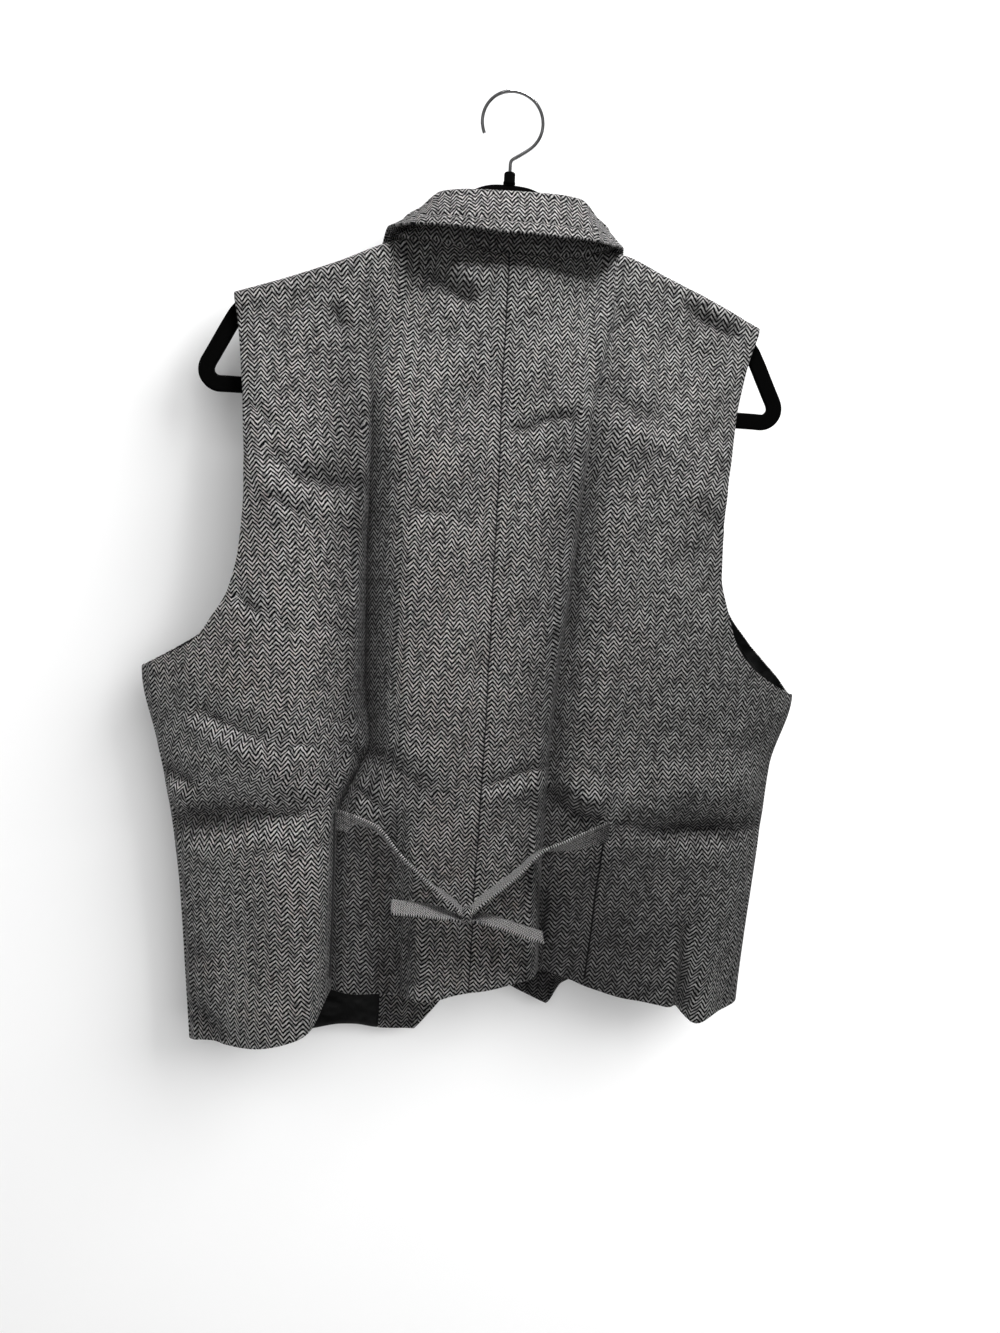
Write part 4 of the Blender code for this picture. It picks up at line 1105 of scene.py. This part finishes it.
def collar_points(places, rows):
    """The collar's inner face: up the stand, over the roll and down the fall."""
    stations = collar_rows()
    columns = {name: read(stations, places, name) for name in CollarStation._fields}
    on_neck = 1 - ramp(np.abs(places), *COLLAR_ON_NECK)
    seam_drop = mix(columns["seam_drop"], top_line(columns["seam_x"]) - SEAM_GAP, on_neck)
    tilt = -COLLAR_TILT * columns["fold_x"]
    seam = world(columns["seam_x"], columns["seam_y"], seam_drop + tilt * (1 - on_neck))
    fold = world(columns["fold_x"], columns["fold_y"], columns["fold_drop"] + tilt)
    edge_drop = columns["edge_drop"] + tilt + read(COLLAR_EDGE_SHIFT, places, "drop")
    edge = world(columns["edge_x"], columns["edge_y"], edge_drop)
    out = edge - seam
    out[..., 2] = 0.0
    out = unit(out)
    flattened = mix(1.0, COLLAR_ROLL_END, ramp(np.abs(places), *COLLAR_ROLL_FADE))
    radius = COLLAR_ROLL * MM * flattened[..., None]
    share = rows[..., None]
    on_stand = mix(seam, fold - out * radius, share / COLLAR_STAND_END)
    turn = np.pi * (1 - (share - COLLAR_STAND_END) / (COLLAR_ROLL_FINISH - COLLAR_STAND_END))
    on_roll = fold + radius * (out * np.cos(turn) + UPWARD * np.sin(turn))
    down_fall = (share - COLLAR_ROLL_FINISH) / (1 - COLLAR_ROLL_FINISH)
    on_fall = mix(fold + out * radius, edge, down_fall)
    upper = np.where(share < COLLAR_ROLL_FINISH, on_roll, on_fall)
    return np.where(share < COLLAR_STAND_END, on_stand, upper)


def run_lengths(points):
    """Lengths in millimetres along the rows and down the columns of a grid of points."""
    along = np.linalg.norm(np.diff(points, axis=1), axis=-1) / MM
    down = np.linalg.norm(np.diff(points, axis=0), axis=-1) / MM
    u = np.concatenate([np.zeros((len(points), 1)), np.cumsum(along, axis=1)], axis=1)
    v = np.concatenate([np.zeros((1, points.shape[1])), np.cumsum(down, axis=0)], axis=0)
    return u - u[:, [u.shape[1] // 2]], v


def collar_outward(points):
    """Directions out of the neck, a little back and up, that tell the collar's outer side."""
    return points * LEVEL + COLLAR_LEAN


def collar_topstitch(thread):
    """A row of stitches along the fall, set down into its groove."""
    share = mix(COLLAR_ROLL_FINISH, 1.0, COLLAR_STITCH_SHARE)
    line = np.linspace(-COLLAR_STITCH_END, COLLAR_STITCH_END, COLLAR_STITCH_SAMPLES)
    strip = collar_points(*np.meshgrid(line, share + COLLAR_STITCH_STRIP))
    lift = (CLOTH - COLLAR_STITCH_DIP) * MM
    sewn = (strip + surface_normals(strip, collar_outward(strip)) * lift)[1]
    travelled = np.concatenate([[0.0], np.cumsum(np.linalg.norm(np.diff(sewn, axis=0), axis=-1))]) / MM
    starts = np.arange(0.0, travelled[-1] - STITCH_LENGTH, STITCH_STEP)

    def along(lengths):
        return np.stack([np.interp(lengths, travelled, sewn[:, k]) for k in range(3)], axis=-1)

    return stitches("collar_topstitch", along(starts), along(starts + STITCH_LENGTH), STITCH_RADIUS, thread)


def build_collar(cloth, thread):
    share, rows = grid_of(COLLAR_GRID)
    places = share * 2 - 1
    points = collar_points(places, rows)
    u, v = run_lengths(points)
    outward = collar_outward(points)
    fall_share = (rows - COLLAR_ROLL_FINISH) / (1 - COLLAR_ROLL_FINISH)
    dip = COLLAR_STITCH_DIP * np.exp(-(((fall_share - COLLAR_STITCH_SHARE) / COLLAR_STITCH_WIDTH) ** 2))
    normals = surface_normals(points, outward)
    points = points - normals * dip[..., None] * MM
    groove = np.abs(fall_share - COLLAR_STITCH_SHARE) * COLLAR_FALL + COLLAR_GROOVE
    made = shell("collar_cloth", points, outward, CLOTH, (u, v, groove), (cloth,))
    cut_cloth(made, "collar", [collar_topstitch(thread)])


def lapel_points(side, across, rows):
    """A lapel on its front: from the roll line outward, above the front's outer face."""
    roll_drop = mix(LAPEL[0].drop, LAPEL[-1].drop, rows)
    x = read(OPEN_EDGE[side], roll_drop, "x") + side * across * read(LAPEL, roll_drop, "reach")
    drop = roll_drop + across * read(LAPEL, roll_drop, "lower")
    roll = np.sin(np.pi * np.clip(across / LAPEL_ROLL_REACH, 0, 1)) ** 2
    return x, front_y(x, drop, side) + FRONT_CLOTH + LAPEL_LIFT + LAPEL_ROLL * roll, drop


def build_lapels(cloth):
    for side, label in SIDES.items():
        x, y, drop = lapel_points(side, *grid_of(LAPEL_GRID))
        name = "lapel_" + label
        flat = plain_flat(x, y, drop)
        made = shell(name + "_cloth", world(x, y, drop), FORWARD, LAPEL_CLOTH, flat, (cloth,))
        cut_cloth(made, name)


# Waist ties


def tie_grid(table):
    """Points of a band, from its edge that shows and turned as its table says."""
    across, rows = grid_of(TIE_GRID)
    px, py, y, turn, band = np.array(table, float).T
    x, drop = at_depth(np.stack([px, py], axis=-1), y)
    runs = np.hypot(np.diff(x), np.diff(drop))
    shares = np.concatenate([[0.0], np.cumsum(runs)]) / runs.sum()
    stations = [TieStation(*values) for values in zip(shares, x, y, drop, turn, band)]
    at = {name: read(stations, rows, name) for name in TieStation._fields[1:]}
    turned = np.radians(at["turn"])
    away = np.stack([np.zeros_like(turned), np.sin(turned), -np.cos(turned)], axis=-1)
    edge = world(at["x"], at["y"], at["drop"])
    return edge + away * (across * at["band"] * MM)[..., None]


def build_ties(cloth, knot):
    for name, table in TIES.items():
        points = tie_grid(table)
        u, v = (TIE_FINER_WEAVE * lengths for lengths in run_lengths(points))
        points = points - surface_normals(points, BACKWARD) * TIE_CLOTH / 2 * MM
        # Painted shade at the band's root and a painted highlight along the rest of it
        painted_light_and_shade = mix(TIE_ROOT_PAINTED_SHADE, TIE_PAINTED_HIGHLIGHT, np.minimum(1.0, TIE_ROOT_FADE * grid_of(TIE_GRID)[1]))
        made = shell(name + "_cloth", points, BACKWARD, TIE_CLOTH, (u, v, no_seam(u)), (cloth,), painted_light_and_shade)
        cut_cloth(made, name, knot if name == "tie_left" else [])


def build_knot(cloth, thread):
    """The knot, a pinched wrap with the band's folds drawn into it, and the thread ends below it."""
    steps = np.linspace(0, 2 * np.pi, KNOT_GRID[0], endpoint=False)
    turn, lift = np.meshgrid(steps, np.linspace(KNOT_TIP, np.pi - KNOT_TIP, KNOT_GRID[1]))
    pleats = 1 + KNOT_PLEAT * np.sin(KNOT_PLEATS * turn + KNOT_TWIST * np.cos(lift)) * np.sin(lift)
    (middle_x,), (middle_drop,) = at_depth([KNOT_PLACE], KNOT_DEPTH)
    x = middle_x + KNOT_HALF[0] * pleats * np.sin(lift) * np.cos(turn)
    y = KNOT_DEPTH + KNOT_HALF[1] * pleats * np.sin(lift) * np.sin(turn)
    points = world(x, y, middle_drop - KNOT_HALF[2] * np.cos(lift))
    mesh = ring_mesh("tie_knot_cloth", points[None], cloth)
    lain = np.stack([turn * KNOT_HALF[0], lift * KNOT_HALF[2], no_seam(turn)], axis=-1)
    mesh.attributes.new("cloth", "FLOAT_VECTOR", "POINT").data.foreach_set("vector", lain.ravel())
    knot = stands_for(piece("tie_knot_cloth", mesh), "tie_knot")
    starts = pinned(KNOT_DOTS, KNOT_DOT_DEPTH)
    ends = starts + KNOT_THREAD * MM
    return [knot, stitches("tie_knot_threads", starts, ends, KNOT_THREAD_RADIUS, thread)]


def build_loose_thread(thread):
    """A light thread that stands out of the dart above the right tie."""
    ends = pinned(LOOSE_THREAD, LOOSE_THREAD_DEPTH)
    return stitches("dart_thread", ends[:1], ends[1:], LOOSE_THREAD_RADIUS, thread)


# Hanger


def smooth_line(points, steps):
    """A smooth line through the points, with the same number of steps in each stretch."""
    line = []
    padded = [points[0], *points, points[-1]]
    for before, start, end, after in zip(padded, padded[1:], padded[2:], padded[3:]):
        for i in range(steps):
            t = i / steps
            weights = (
                (-t + 2 * t**2 - t**3) / 2,
                (2 - 5 * t**2 + 3 * t**3) / 2,
                (t + 4 * t**2 - 3 * t**3) / 2,
                (-(t**2) + t**3) / 2,
            )
            corners = (before, start, end, after)
            line.append(tuple(sum(w * corner[k] for w, corner in zip(weights, corners)) for k in range(2)))
    line.append(points[-1])
    return line


def hanger_loop(inset):
    """The hanger's closed outline, moved in from its outer line, less the points that cross over."""
    half = smooth_line(HANGER_LINE, HANGER_STEPS)
    outline = half + [(-x, z) for x, z in reversed(half[1:-1])]
    moved = []
    for i, (x, z) in enumerate(outline):
        x0, z0 = outline[i - 1]
        x1, z1 = outline[(i + 1) % len(outline)]
        length = math.hypot(x1 - x0, z1 - z0)
        moved.append((x - (z0 - z1) / length * inset, z - (x1 - x0) / length * inset))
    apart = np.linalg.norm(np.array(moved)[:, None] - np.array(outline), axis=-1).min(axis=1)
    return [place for place, gap in zip(moved, apart) if gap > inset * HANGER_INSET_KEPT]


def add_spline(curve, places, closed):
    spline = curve.splines.new("POLY")
    spline.points.add(len(places) - 1)
    for point, place in zip(spline.points, places):
        point.co = (*place, 1.0)
    spline.use_cyclic_u = closed


def build_hanger_body(velvet):
    curve = bpy.data.curves.new("hanger_body_flocked", "CURVE")
    curve.dimensions = "2D"
    curve.fill_mode = "BOTH"
    curve.extrude = (HANGER_THICKNESS / 2 - HANGER_BEVEL) * MM
    curve.bevel_depth = HANGER_BEVEL * MM
    curve.bevel_resolution = HANGER_BEVEL_STEPS
    for inset in (HANGER_BEVEL, HANGER_BAND - HANGER_BEVEL):
        add_spline(curve, [(x * MM, z * MM, 0.0) for x, z in hanger_loop(inset)], True)
    curve.materials.append(velvet)
    made = bpy.data.objects.new("hanger_body_flocked", curve)
    bpy.context.scene.collection.objects.link(made)
    made.rotation_euler = (math.pi / 2, 0.0, 0.0)
    made.location = (0.0, 0.0, -APEX_BELOW_CROWN * MM)
    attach(made, "root")
    stands_for(made, "hanger_body")


def lathe(profile, steps, axis):
    """Rings of a turned piece: radius and height pairs round an axis."""
    radius, height = np.array(profile, float).T
    turn = np.linspace(0, 2 * np.pi, steps, endpoint=False)
    rings = np.zeros((len(radius), steps, 3))
    rings[..., :2] = radius[:, None, None] * np.stack([np.cos(turn), np.sin(turn)], axis=-1)
    rings[..., 2] = height[:, None]
    if axis == "y":
        rings = rings[..., [0, 2, 1]] * np.array([-1.0, 1.0, 1.0])
    return rings


def build_hanger_neck(velvet):
    half = NECK_STUB_WIDTH / 2
    top = NECK_STUB_HEIGHT
    foot = [(half - inset, height) for inset, height in NECK_FOOT]
    head = [(half - inset, top - below) for inset, below in NECK_HEAD]
    rings = lathe([(LATHE_CORE, 0.0), *foot, *head, (LATHE_CORE, top)], NECK_STEPS, "z")
    centre = np.array([0.0, 0.0, (SEAM_GAP - APEX_BELOW_CROWN) * MM])
    mesh = ring_mesh("hanger_neck_flocked", (rings * MM + centre)[None], velvet)
    stands_for(piece("hanger_neck_flocked", mesh), "hanger_neck")


def cubic_point(start, leave, arrive, end, t):
    """A point on a cubic curve, as x and z."""
    weights = ((1 - t) ** 3, 3 * (1 - t) ** 2 * t, 3 * (1 - t) * t**2, t**3)
    corners = (start, leave, arrive, end)
    return tuple(sum(weight * corner[i] for weight, corner in zip(weights, corners)) for i in range(2))


def hook_line():
    """Middle line of the hook: a shank, a swan bend and most of a circle round the rail."""
    radius = HOOK_INNER_RADIUS + HOOK_WIRE / 2
    first, last = (math.radians(angle) for angle in HOOK_ARC_DEGREES)
    foot_z = -APEX_BELOW_CROWN + NECK_STUB_HEIGHT + 2 * SEAM_GAP
    shank_top = (0.0, foot_z + HOOK_SHANK)
    leave = (0.0, foot_z + 2 * HOOK_SHANK)
    arc = []
    for angle in np.linspace(first, last, HOOK_ARC_POINTS):
        arc.append((radius * math.cos(angle), -HOOK_INNER_RADIUS + radius * math.sin(angle)))
    arrive = (arc[0][0] + HOOK_BEND_PULL * math.sin(first), arc[0][1] - HOOK_BEND_PULL * math.cos(first))
    shares = np.linspace(0, 1, HOOK_BEND_POINTS, endpoint=False)
    bend = [cubic_point(shank_top, leave, arrive, arc[0], t) for t in shares]
    return [(0.0, foot_z), *bend, *arc]


def build_hook(steel):
    curve = bpy.data.curves.new("hanger_hook_wire", "CURVE")
    curve.dimensions = "3D"
    curve.bevel_depth = HOOK_WIRE / 2 * MM
    curve.bevel_resolution = HOOK_BEVEL_STEPS
    curve.use_fill_caps = True
    add_spline(curve, [(x * MM, 0.0, z * MM) for x, z in hook_line()], False)
    curve.materials.append(steel)
    stands_for(piece("hanger_hook_wire", curve), "hanger_hook")


# Buttons


def button_rings():
    """A turned button with a dished face and four holes."""
    rim = [(BUTTON_RADIUS - inset, height) for inset, height in BUTTON_RIM]
    face_radii = np.linspace(BUTTON_RADIUS - BUTTON_FACE_INSET, BUTTON_FACE_CORE, BUTTON_FACE_RINGS)
    face = [(radius, BUTTON_DISH) for radius in face_radii]
    rings = lathe([(LATHE_CORE, 0.0), *rim, *face], BUTTON_STEPS, "y")
    apart = np.min([np.hypot(rings[..., 0] - x, rings[..., 2] - z) for x, z in BUTTON_HOLES], axis=0)
    on_face = rings[..., 1] > BUTTON_DISH / 2
    rings[..., 1] -= BUTTON_HOLE_DEPTH * (1 - ramp(apart, *BUTTON_HOLE_RADII)) * on_face
    return rings


def build_buttons(plastic, thread):
    rings = button_rings()
    hole_ends = np.array([(x, BUTTON_DISH + BUTTON_THREAD_LIFT, z) for x, z in BUTTON_HOLES])
    for number, drop in enumerate(BUTTON_DROPS, start=1):
        x = np.array([read(CENTRE_FRONT, drop, "x")])
        y = front_y(x, np.array([drop]), -1) + FRONT_CLOTH + BUTTON_GAP
        centre = world(x, y, np.array([drop]))[0]
        mesh = ring_mesh(f"button_{number}_turned", (rings * MM + centre)[None], plastic)
        stands_for(piece(f"button_{number}_turned", mesh), f"button_{number}")
        ends = hole_ends * MM + centre
        stitches(f"button_{number}_thread", ends[:2], ends[2:], BUTTON_THREAD_RADIUS, thread)


# Materials


def add_node(tree, kind, inputs=None, **settings):
    """A node with its settings made, and its inputs set to values or linked to other outputs."""
    node = tree.nodes.new(kind)
    for name, value in settings.items():
        setattr(node, name, value)
    for socket, value in (inputs or {}).items():
        if isinstance(value, bpy.types.NodeSocket):
            tree.links.new(value, node.inputs[socket])
        else:
            node.inputs[socket].default_value = value
    return node


def calc(tree, operation, *values):
    return add_node(tree, "ShaderNodeMath", dict(enumerate(values)), operation=operation).outputs[0]


def noise(tree, vector, scale, detail, roughness=0.5):
    inputs = {"Vector": vector, "Scale": scale, "Detail": detail, "Roughness": roughness}
    return add_node(tree, "ShaderNodeTexNoise", inputs).outputs["Fac"]


def spread(tree, value, low, high, to_low, to_high):
    """A value moved from one range to another with soft ends."""
    inputs = {"Value": value, 1: low, 2: high, 3: to_low, 4: to_high}
    return add_node(tree, "ShaderNodeMapRange", inputs, interpolation_type="SMOOTHSTEP").outputs[0]


def uneven(tree, vector, tone):
    return spread(tree, noise(tree, vector, tone.scale, tone.detail), *NOISE_RANGE, tone.low, tone.high)


def shifted(tree, value, vector, scale, size):
    """A value moved to and fro by a soft noise."""
    return calc(tree, "MULTIPLY_ADD", noise(tree, vector, scale, WEAVE_DRIFT_DETAIL), size, value)


def stretched(tree, vector, scales):
    return add_node(tree, "ShaderNodeVectorMath", {0: vector, 1: scales}, operation="MULTIPLY").outputs[0]


def new_material(name, values):
    material = bpy.data.materials.new(name)
    material.use_nodes = True
    shader = material.node_tree.nodes["Principled BSDF"]
    for socket, value in values.items():
        shader.inputs[socket].default_value = value
    return material, material.node_tree, shader


def colour_between(tree, shader, share, dark, light):
    """The shader's colour, from dark to light as a share goes from 0 to 1."""
    ramp_node = add_node(tree, "ShaderNodeValToRGB", {"Fac": share})
    ramp_node.color_ramp.elements[0].color = (*dark, 1.0)
    ramp_node.color_ramp.elements[1].color = (*light, 1.0)
    tree.links.new(ramp_node.outputs["Color"], shader.inputs["Base Color"])


def bump(tree, shader, height, strength, distance):
    inputs = {"Height": height, "Strength": strength, "Distance": distance}
    node = add_node(tree, "ShaderNodeBump", inputs)
    tree.links.new(node.outputs["Normal"], shader.inputs["Normal"])


def herringbone():
    """Wool herringbone: stripes of light and dark yarn that lean to and fro in columns."""
    material, tree, shader = new_material("herringbone_wool", WOOL)
    flat = add_node(tree, "ShaderNodeAttribute", attribute_name="cloth").outputs["Vector"]
    sunk = add_node(tree, "ShaderNodeAttribute", attribute_name="sunk").outputs["Fac"]
    u, v, seam = add_node(tree, "ShaderNodeSeparateXYZ", {0: flat}).outputs
    lean = calc(tree, "PINGPONG", shifted(tree, u, flat, *WEAVE_DRIFT_ACROSS), WEAVE_HALF_PERIOD)
    along = shifted(tree, shifted(tree, v, flat, *WEAVE_DRIFT_ALONG), flat, *WEAVE_WOBBLE)
    climb = calc(tree, "MULTIPLY_ADD", lean, WEAVE_SLOPE, along)
    wave = calc(tree, "SINE", calc(tree, "MULTIPLY", climb, 2 * math.pi / WEAVE_PITCH))
    slub = calc(tree, "MULTIPLY_ADD", noise(tree, flat, *WEAVE_SLUB), *TO_BOTH_SIDES)
    yarn = spread(tree, calc(tree, "ADD", wave, slub), *WEAVE_YARN)
    streak = uneven(tree, stretched(tree, flat, WEAVE_STREAKS), STREAK)
    cloud = uneven(tree, flat, CLOUD)
    fleck = uneven(tree, flat, FLECK)
    sewn = spread(tree, calc(tree, "ABSOLUTE", seam), *WEAVE_SEAM)
    # Painted shade in folds and painted light on ridges and ties, from the mesh attribute
    painted_light_and_shade = calc(tree, "MULTIPLY_ADD", sunk, WEAVE_PAINTED_SHADE, 1.0)
    uneven_with_painted_shade = calc(tree, "MULTIPLY", calc(tree, "MULTIPLY", streak, cloud), painted_light_and_shade)
    tone = calc(tree, "MULTIPLY", uneven_with_painted_shade, calc(tree, "MULTIPLY", fleck, sewn))
    colour_between(tree, shader, calc(tree, "MULTIPLY", yarn, tone), *WOOL_COLOURS)
    fuzz = noise(tree, flat, *WEAVE_FUZZ)
    relief = calc(tree, "MULTIPLY_ADD", fuzz, WEAVE_FUZZ_SHARE, calc(tree, "MULTIPLY", yarn, sewn))
    bump(tree, shader, relief, *WOOL_BUMP)
    return material


def satin():
    """Black satin lining with a soft lengthwise sheen."""
    material, tree, shader = new_material("black_satin", SATIN)
    flat = add_node(tree, "ShaderNodeAttribute", attribute_name="cloth").outputs["Vector"]
    thread = noise(tree, stretched(tree, flat, SATIN_STRETCH), *SATIN_THREAD)
    colour_between(tree, shader, thread, *SATIN_COLOURS)
    ripple = noise(tree, flat, *SATIN_RIPPLE)
    bump(tree, shader, calc(tree, "MULTIPLY_ADD", ripple, SATIN_RIPPLE_HEIGHT, thread), *SATIN_BUMP)
    return material


def object_place(tree):
    return add_node(tree, "ShaderNodeTexCoord").outputs["Object"]


def grained(name):
    """A material whose colour and relief follow one fine noise."""
    grain = GRAINS[name]
    material, tree, shader = new_material(name, grain.values)
    fine = noise(tree, object_place(tree), grain.scale, grain.detail, grain.roughness)
    colour_between(tree, shader, fine, grain.dark, grain.light)
    bump(tree, shader, fine, *grain.bump)
    return material


def polished_steel():
    """Bright wire with smears that dull it here and there."""
    material, tree, shader = new_material("polished_steel", STEEL)
    smear = noise(tree, object_place(tree), SMEAR.scale, SMEAR.detail)
    dulled = spread(tree, smear, *NOISE_RANGE, SMEAR.low, SMEAR.high)
    tree.links.new(dulled, shader.inputs["Roughness"])
    colour_between(tree, shader, smear, *STEEL_COLOURS)
    return material


# The stage


def plane(name, corners, material):
    mesh = bpy.data.meshes.new(name)
    mesh.from_pydata(corners, [], [(0, 1, 2, 3)])
    mesh.materials.append(material)
    made = bpy.data.objects.new(name, mesh)
    bpy.context.scene.collection.objects.link(made)
    return made


def rectangle(low, high):
    """Corners as wide as the stage, from low to high."""
    return (-STAGE_HALF, low), (STAGE_HALF, low), (STAGE_HALF, high), (-STAGE_HALF, high)


def build_stage():
    """A pale floor, and a white wall close behind that is open when seen from its far side."""
    floor_paint, _, _ = new_material("floor_paint", FLOOR_PAINT)
    plane("floor", [(x, y, FLOOR_Z) for x, y in rectangle(-STAGE_HALF, STAGE_HALF)], floor_paint)
    wall_paint, tree, shader = new_material("wall_paint", WALL_PAINT)
    behind = add_node(tree, "ShaderNodeNewGeometry").outputs["Backfacing"]
    clear = add_node(tree, "ShaderNodeBsdfTransparent").outputs[0]
    either = add_node(tree, "ShaderNodeMixShader", {0: behind, 1: shader.outputs[0], 2: clear})
    tree.links.new(either.outputs[0], tree.nodes["Material Output"].inputs["Surface"])
    wall = plane("wall", [(x, WALL_Y, z) for x, z in rectangle(FLOOR_Z, STAGE_HALF)], wall_paint)
    wall.visible_shadow = False
    wall.visible_diffuse = False
    return wall


def placed(position, right, up, back):
    """A matrix at a position with the given axes."""
    matrix = np.eye(4)
    matrix[:3, :3] = np.stack([right, up, back], axis=-1)
    matrix[:3, 3] = position
    return Matrix(matrix.tolist())


def aim(position, target):
    """A matrix at a position that looks down its own -Z to a target."""
    back = unit(np.array(position, float) - np.array(target, float))
    right = unit(np.cross(UPWARD, back))
    return placed(position, right, np.cross(back, right), back)


def area_light(name, row):
    light = bpy.data.lights.new(name, "AREA")
    light.shape = "SQUARE"
    light.size = row.size
    light.energy = row.power
    light.spread = math.radians(row.spread)
    made = bpy.data.objects.new(name, light)
    bpy.context.scene.collection.objects.link(made)
    made.matrix_world = aim(row.position, row.target)
    made.visible_camera = False
    return made


def link_light(light, wall, state):
    """Say whether a light falls on the wall alone, or on everything else."""
    group = bpy.data.collections.new(light.name + " receivers")
    group.objects.link(wall)
    group.collection_objects[0].light_linking.link_state = state
    light.light_linking.receiver_collection = group


def build_lights(wall):
    """Soft light on the vest from above, and lights of its own for the wall that throw the shadow."""
    for rows, state in ((VEST_LIGHTS, "EXCLUDE"), (WALL_LIGHTS, "INCLUDE")):
        for name, row in rows.items():
            link_light(area_light(name, row), wall, state)
    studio = bpy.data.worlds.new("studio")
    studio.use_nodes = True
    background = studio.node_tree.nodes["Background"]
    background.inputs["Color"].default_value = STUDIO_COLOUR
    background.inputs["Strength"].default_value = STUDIO_STRENGTH
    bpy.context.scene.world = studio
    bpy.context.scene.view_settings.view_transform = "Standard"


def build_camera():
    eye, right, up, forward = camera_axes()
    lens = bpy.data.cameras.new("photo")
    lens.sensor_width = SENSOR
    lens.lens = SENSOR * FOCAL_PIXELS / PHOTO_SIZE[1]
    camera = bpy.data.objects.new("photo", lens)
    bpy.context.scene.collection.objects.link(camera)
    camera.matrix_world = placed(eye * MM, right, up, -forward)
    bpy.context.scene.camera = camera


def main():
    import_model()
    build_camera()
    cloth = herringbone()
    lining = satin()
    thread = grained("cotton_thread")
    build_backs(cloth, lining, build_loose_thread(thread))
    build_fronts(cloth, lining)
    build_collar(cloth, thread)
    build_lapels(cloth)
    build_ties(cloth, build_knot(cloth, thread))
    build_buttons(grained("button_horn"), thread)
    velvet = grained("black_flock")
    build_hanger_body(velvet)
    build_hanger_neck(velvet)
    build_hook(polished_steel())
    build_lights(build_stage())


main()
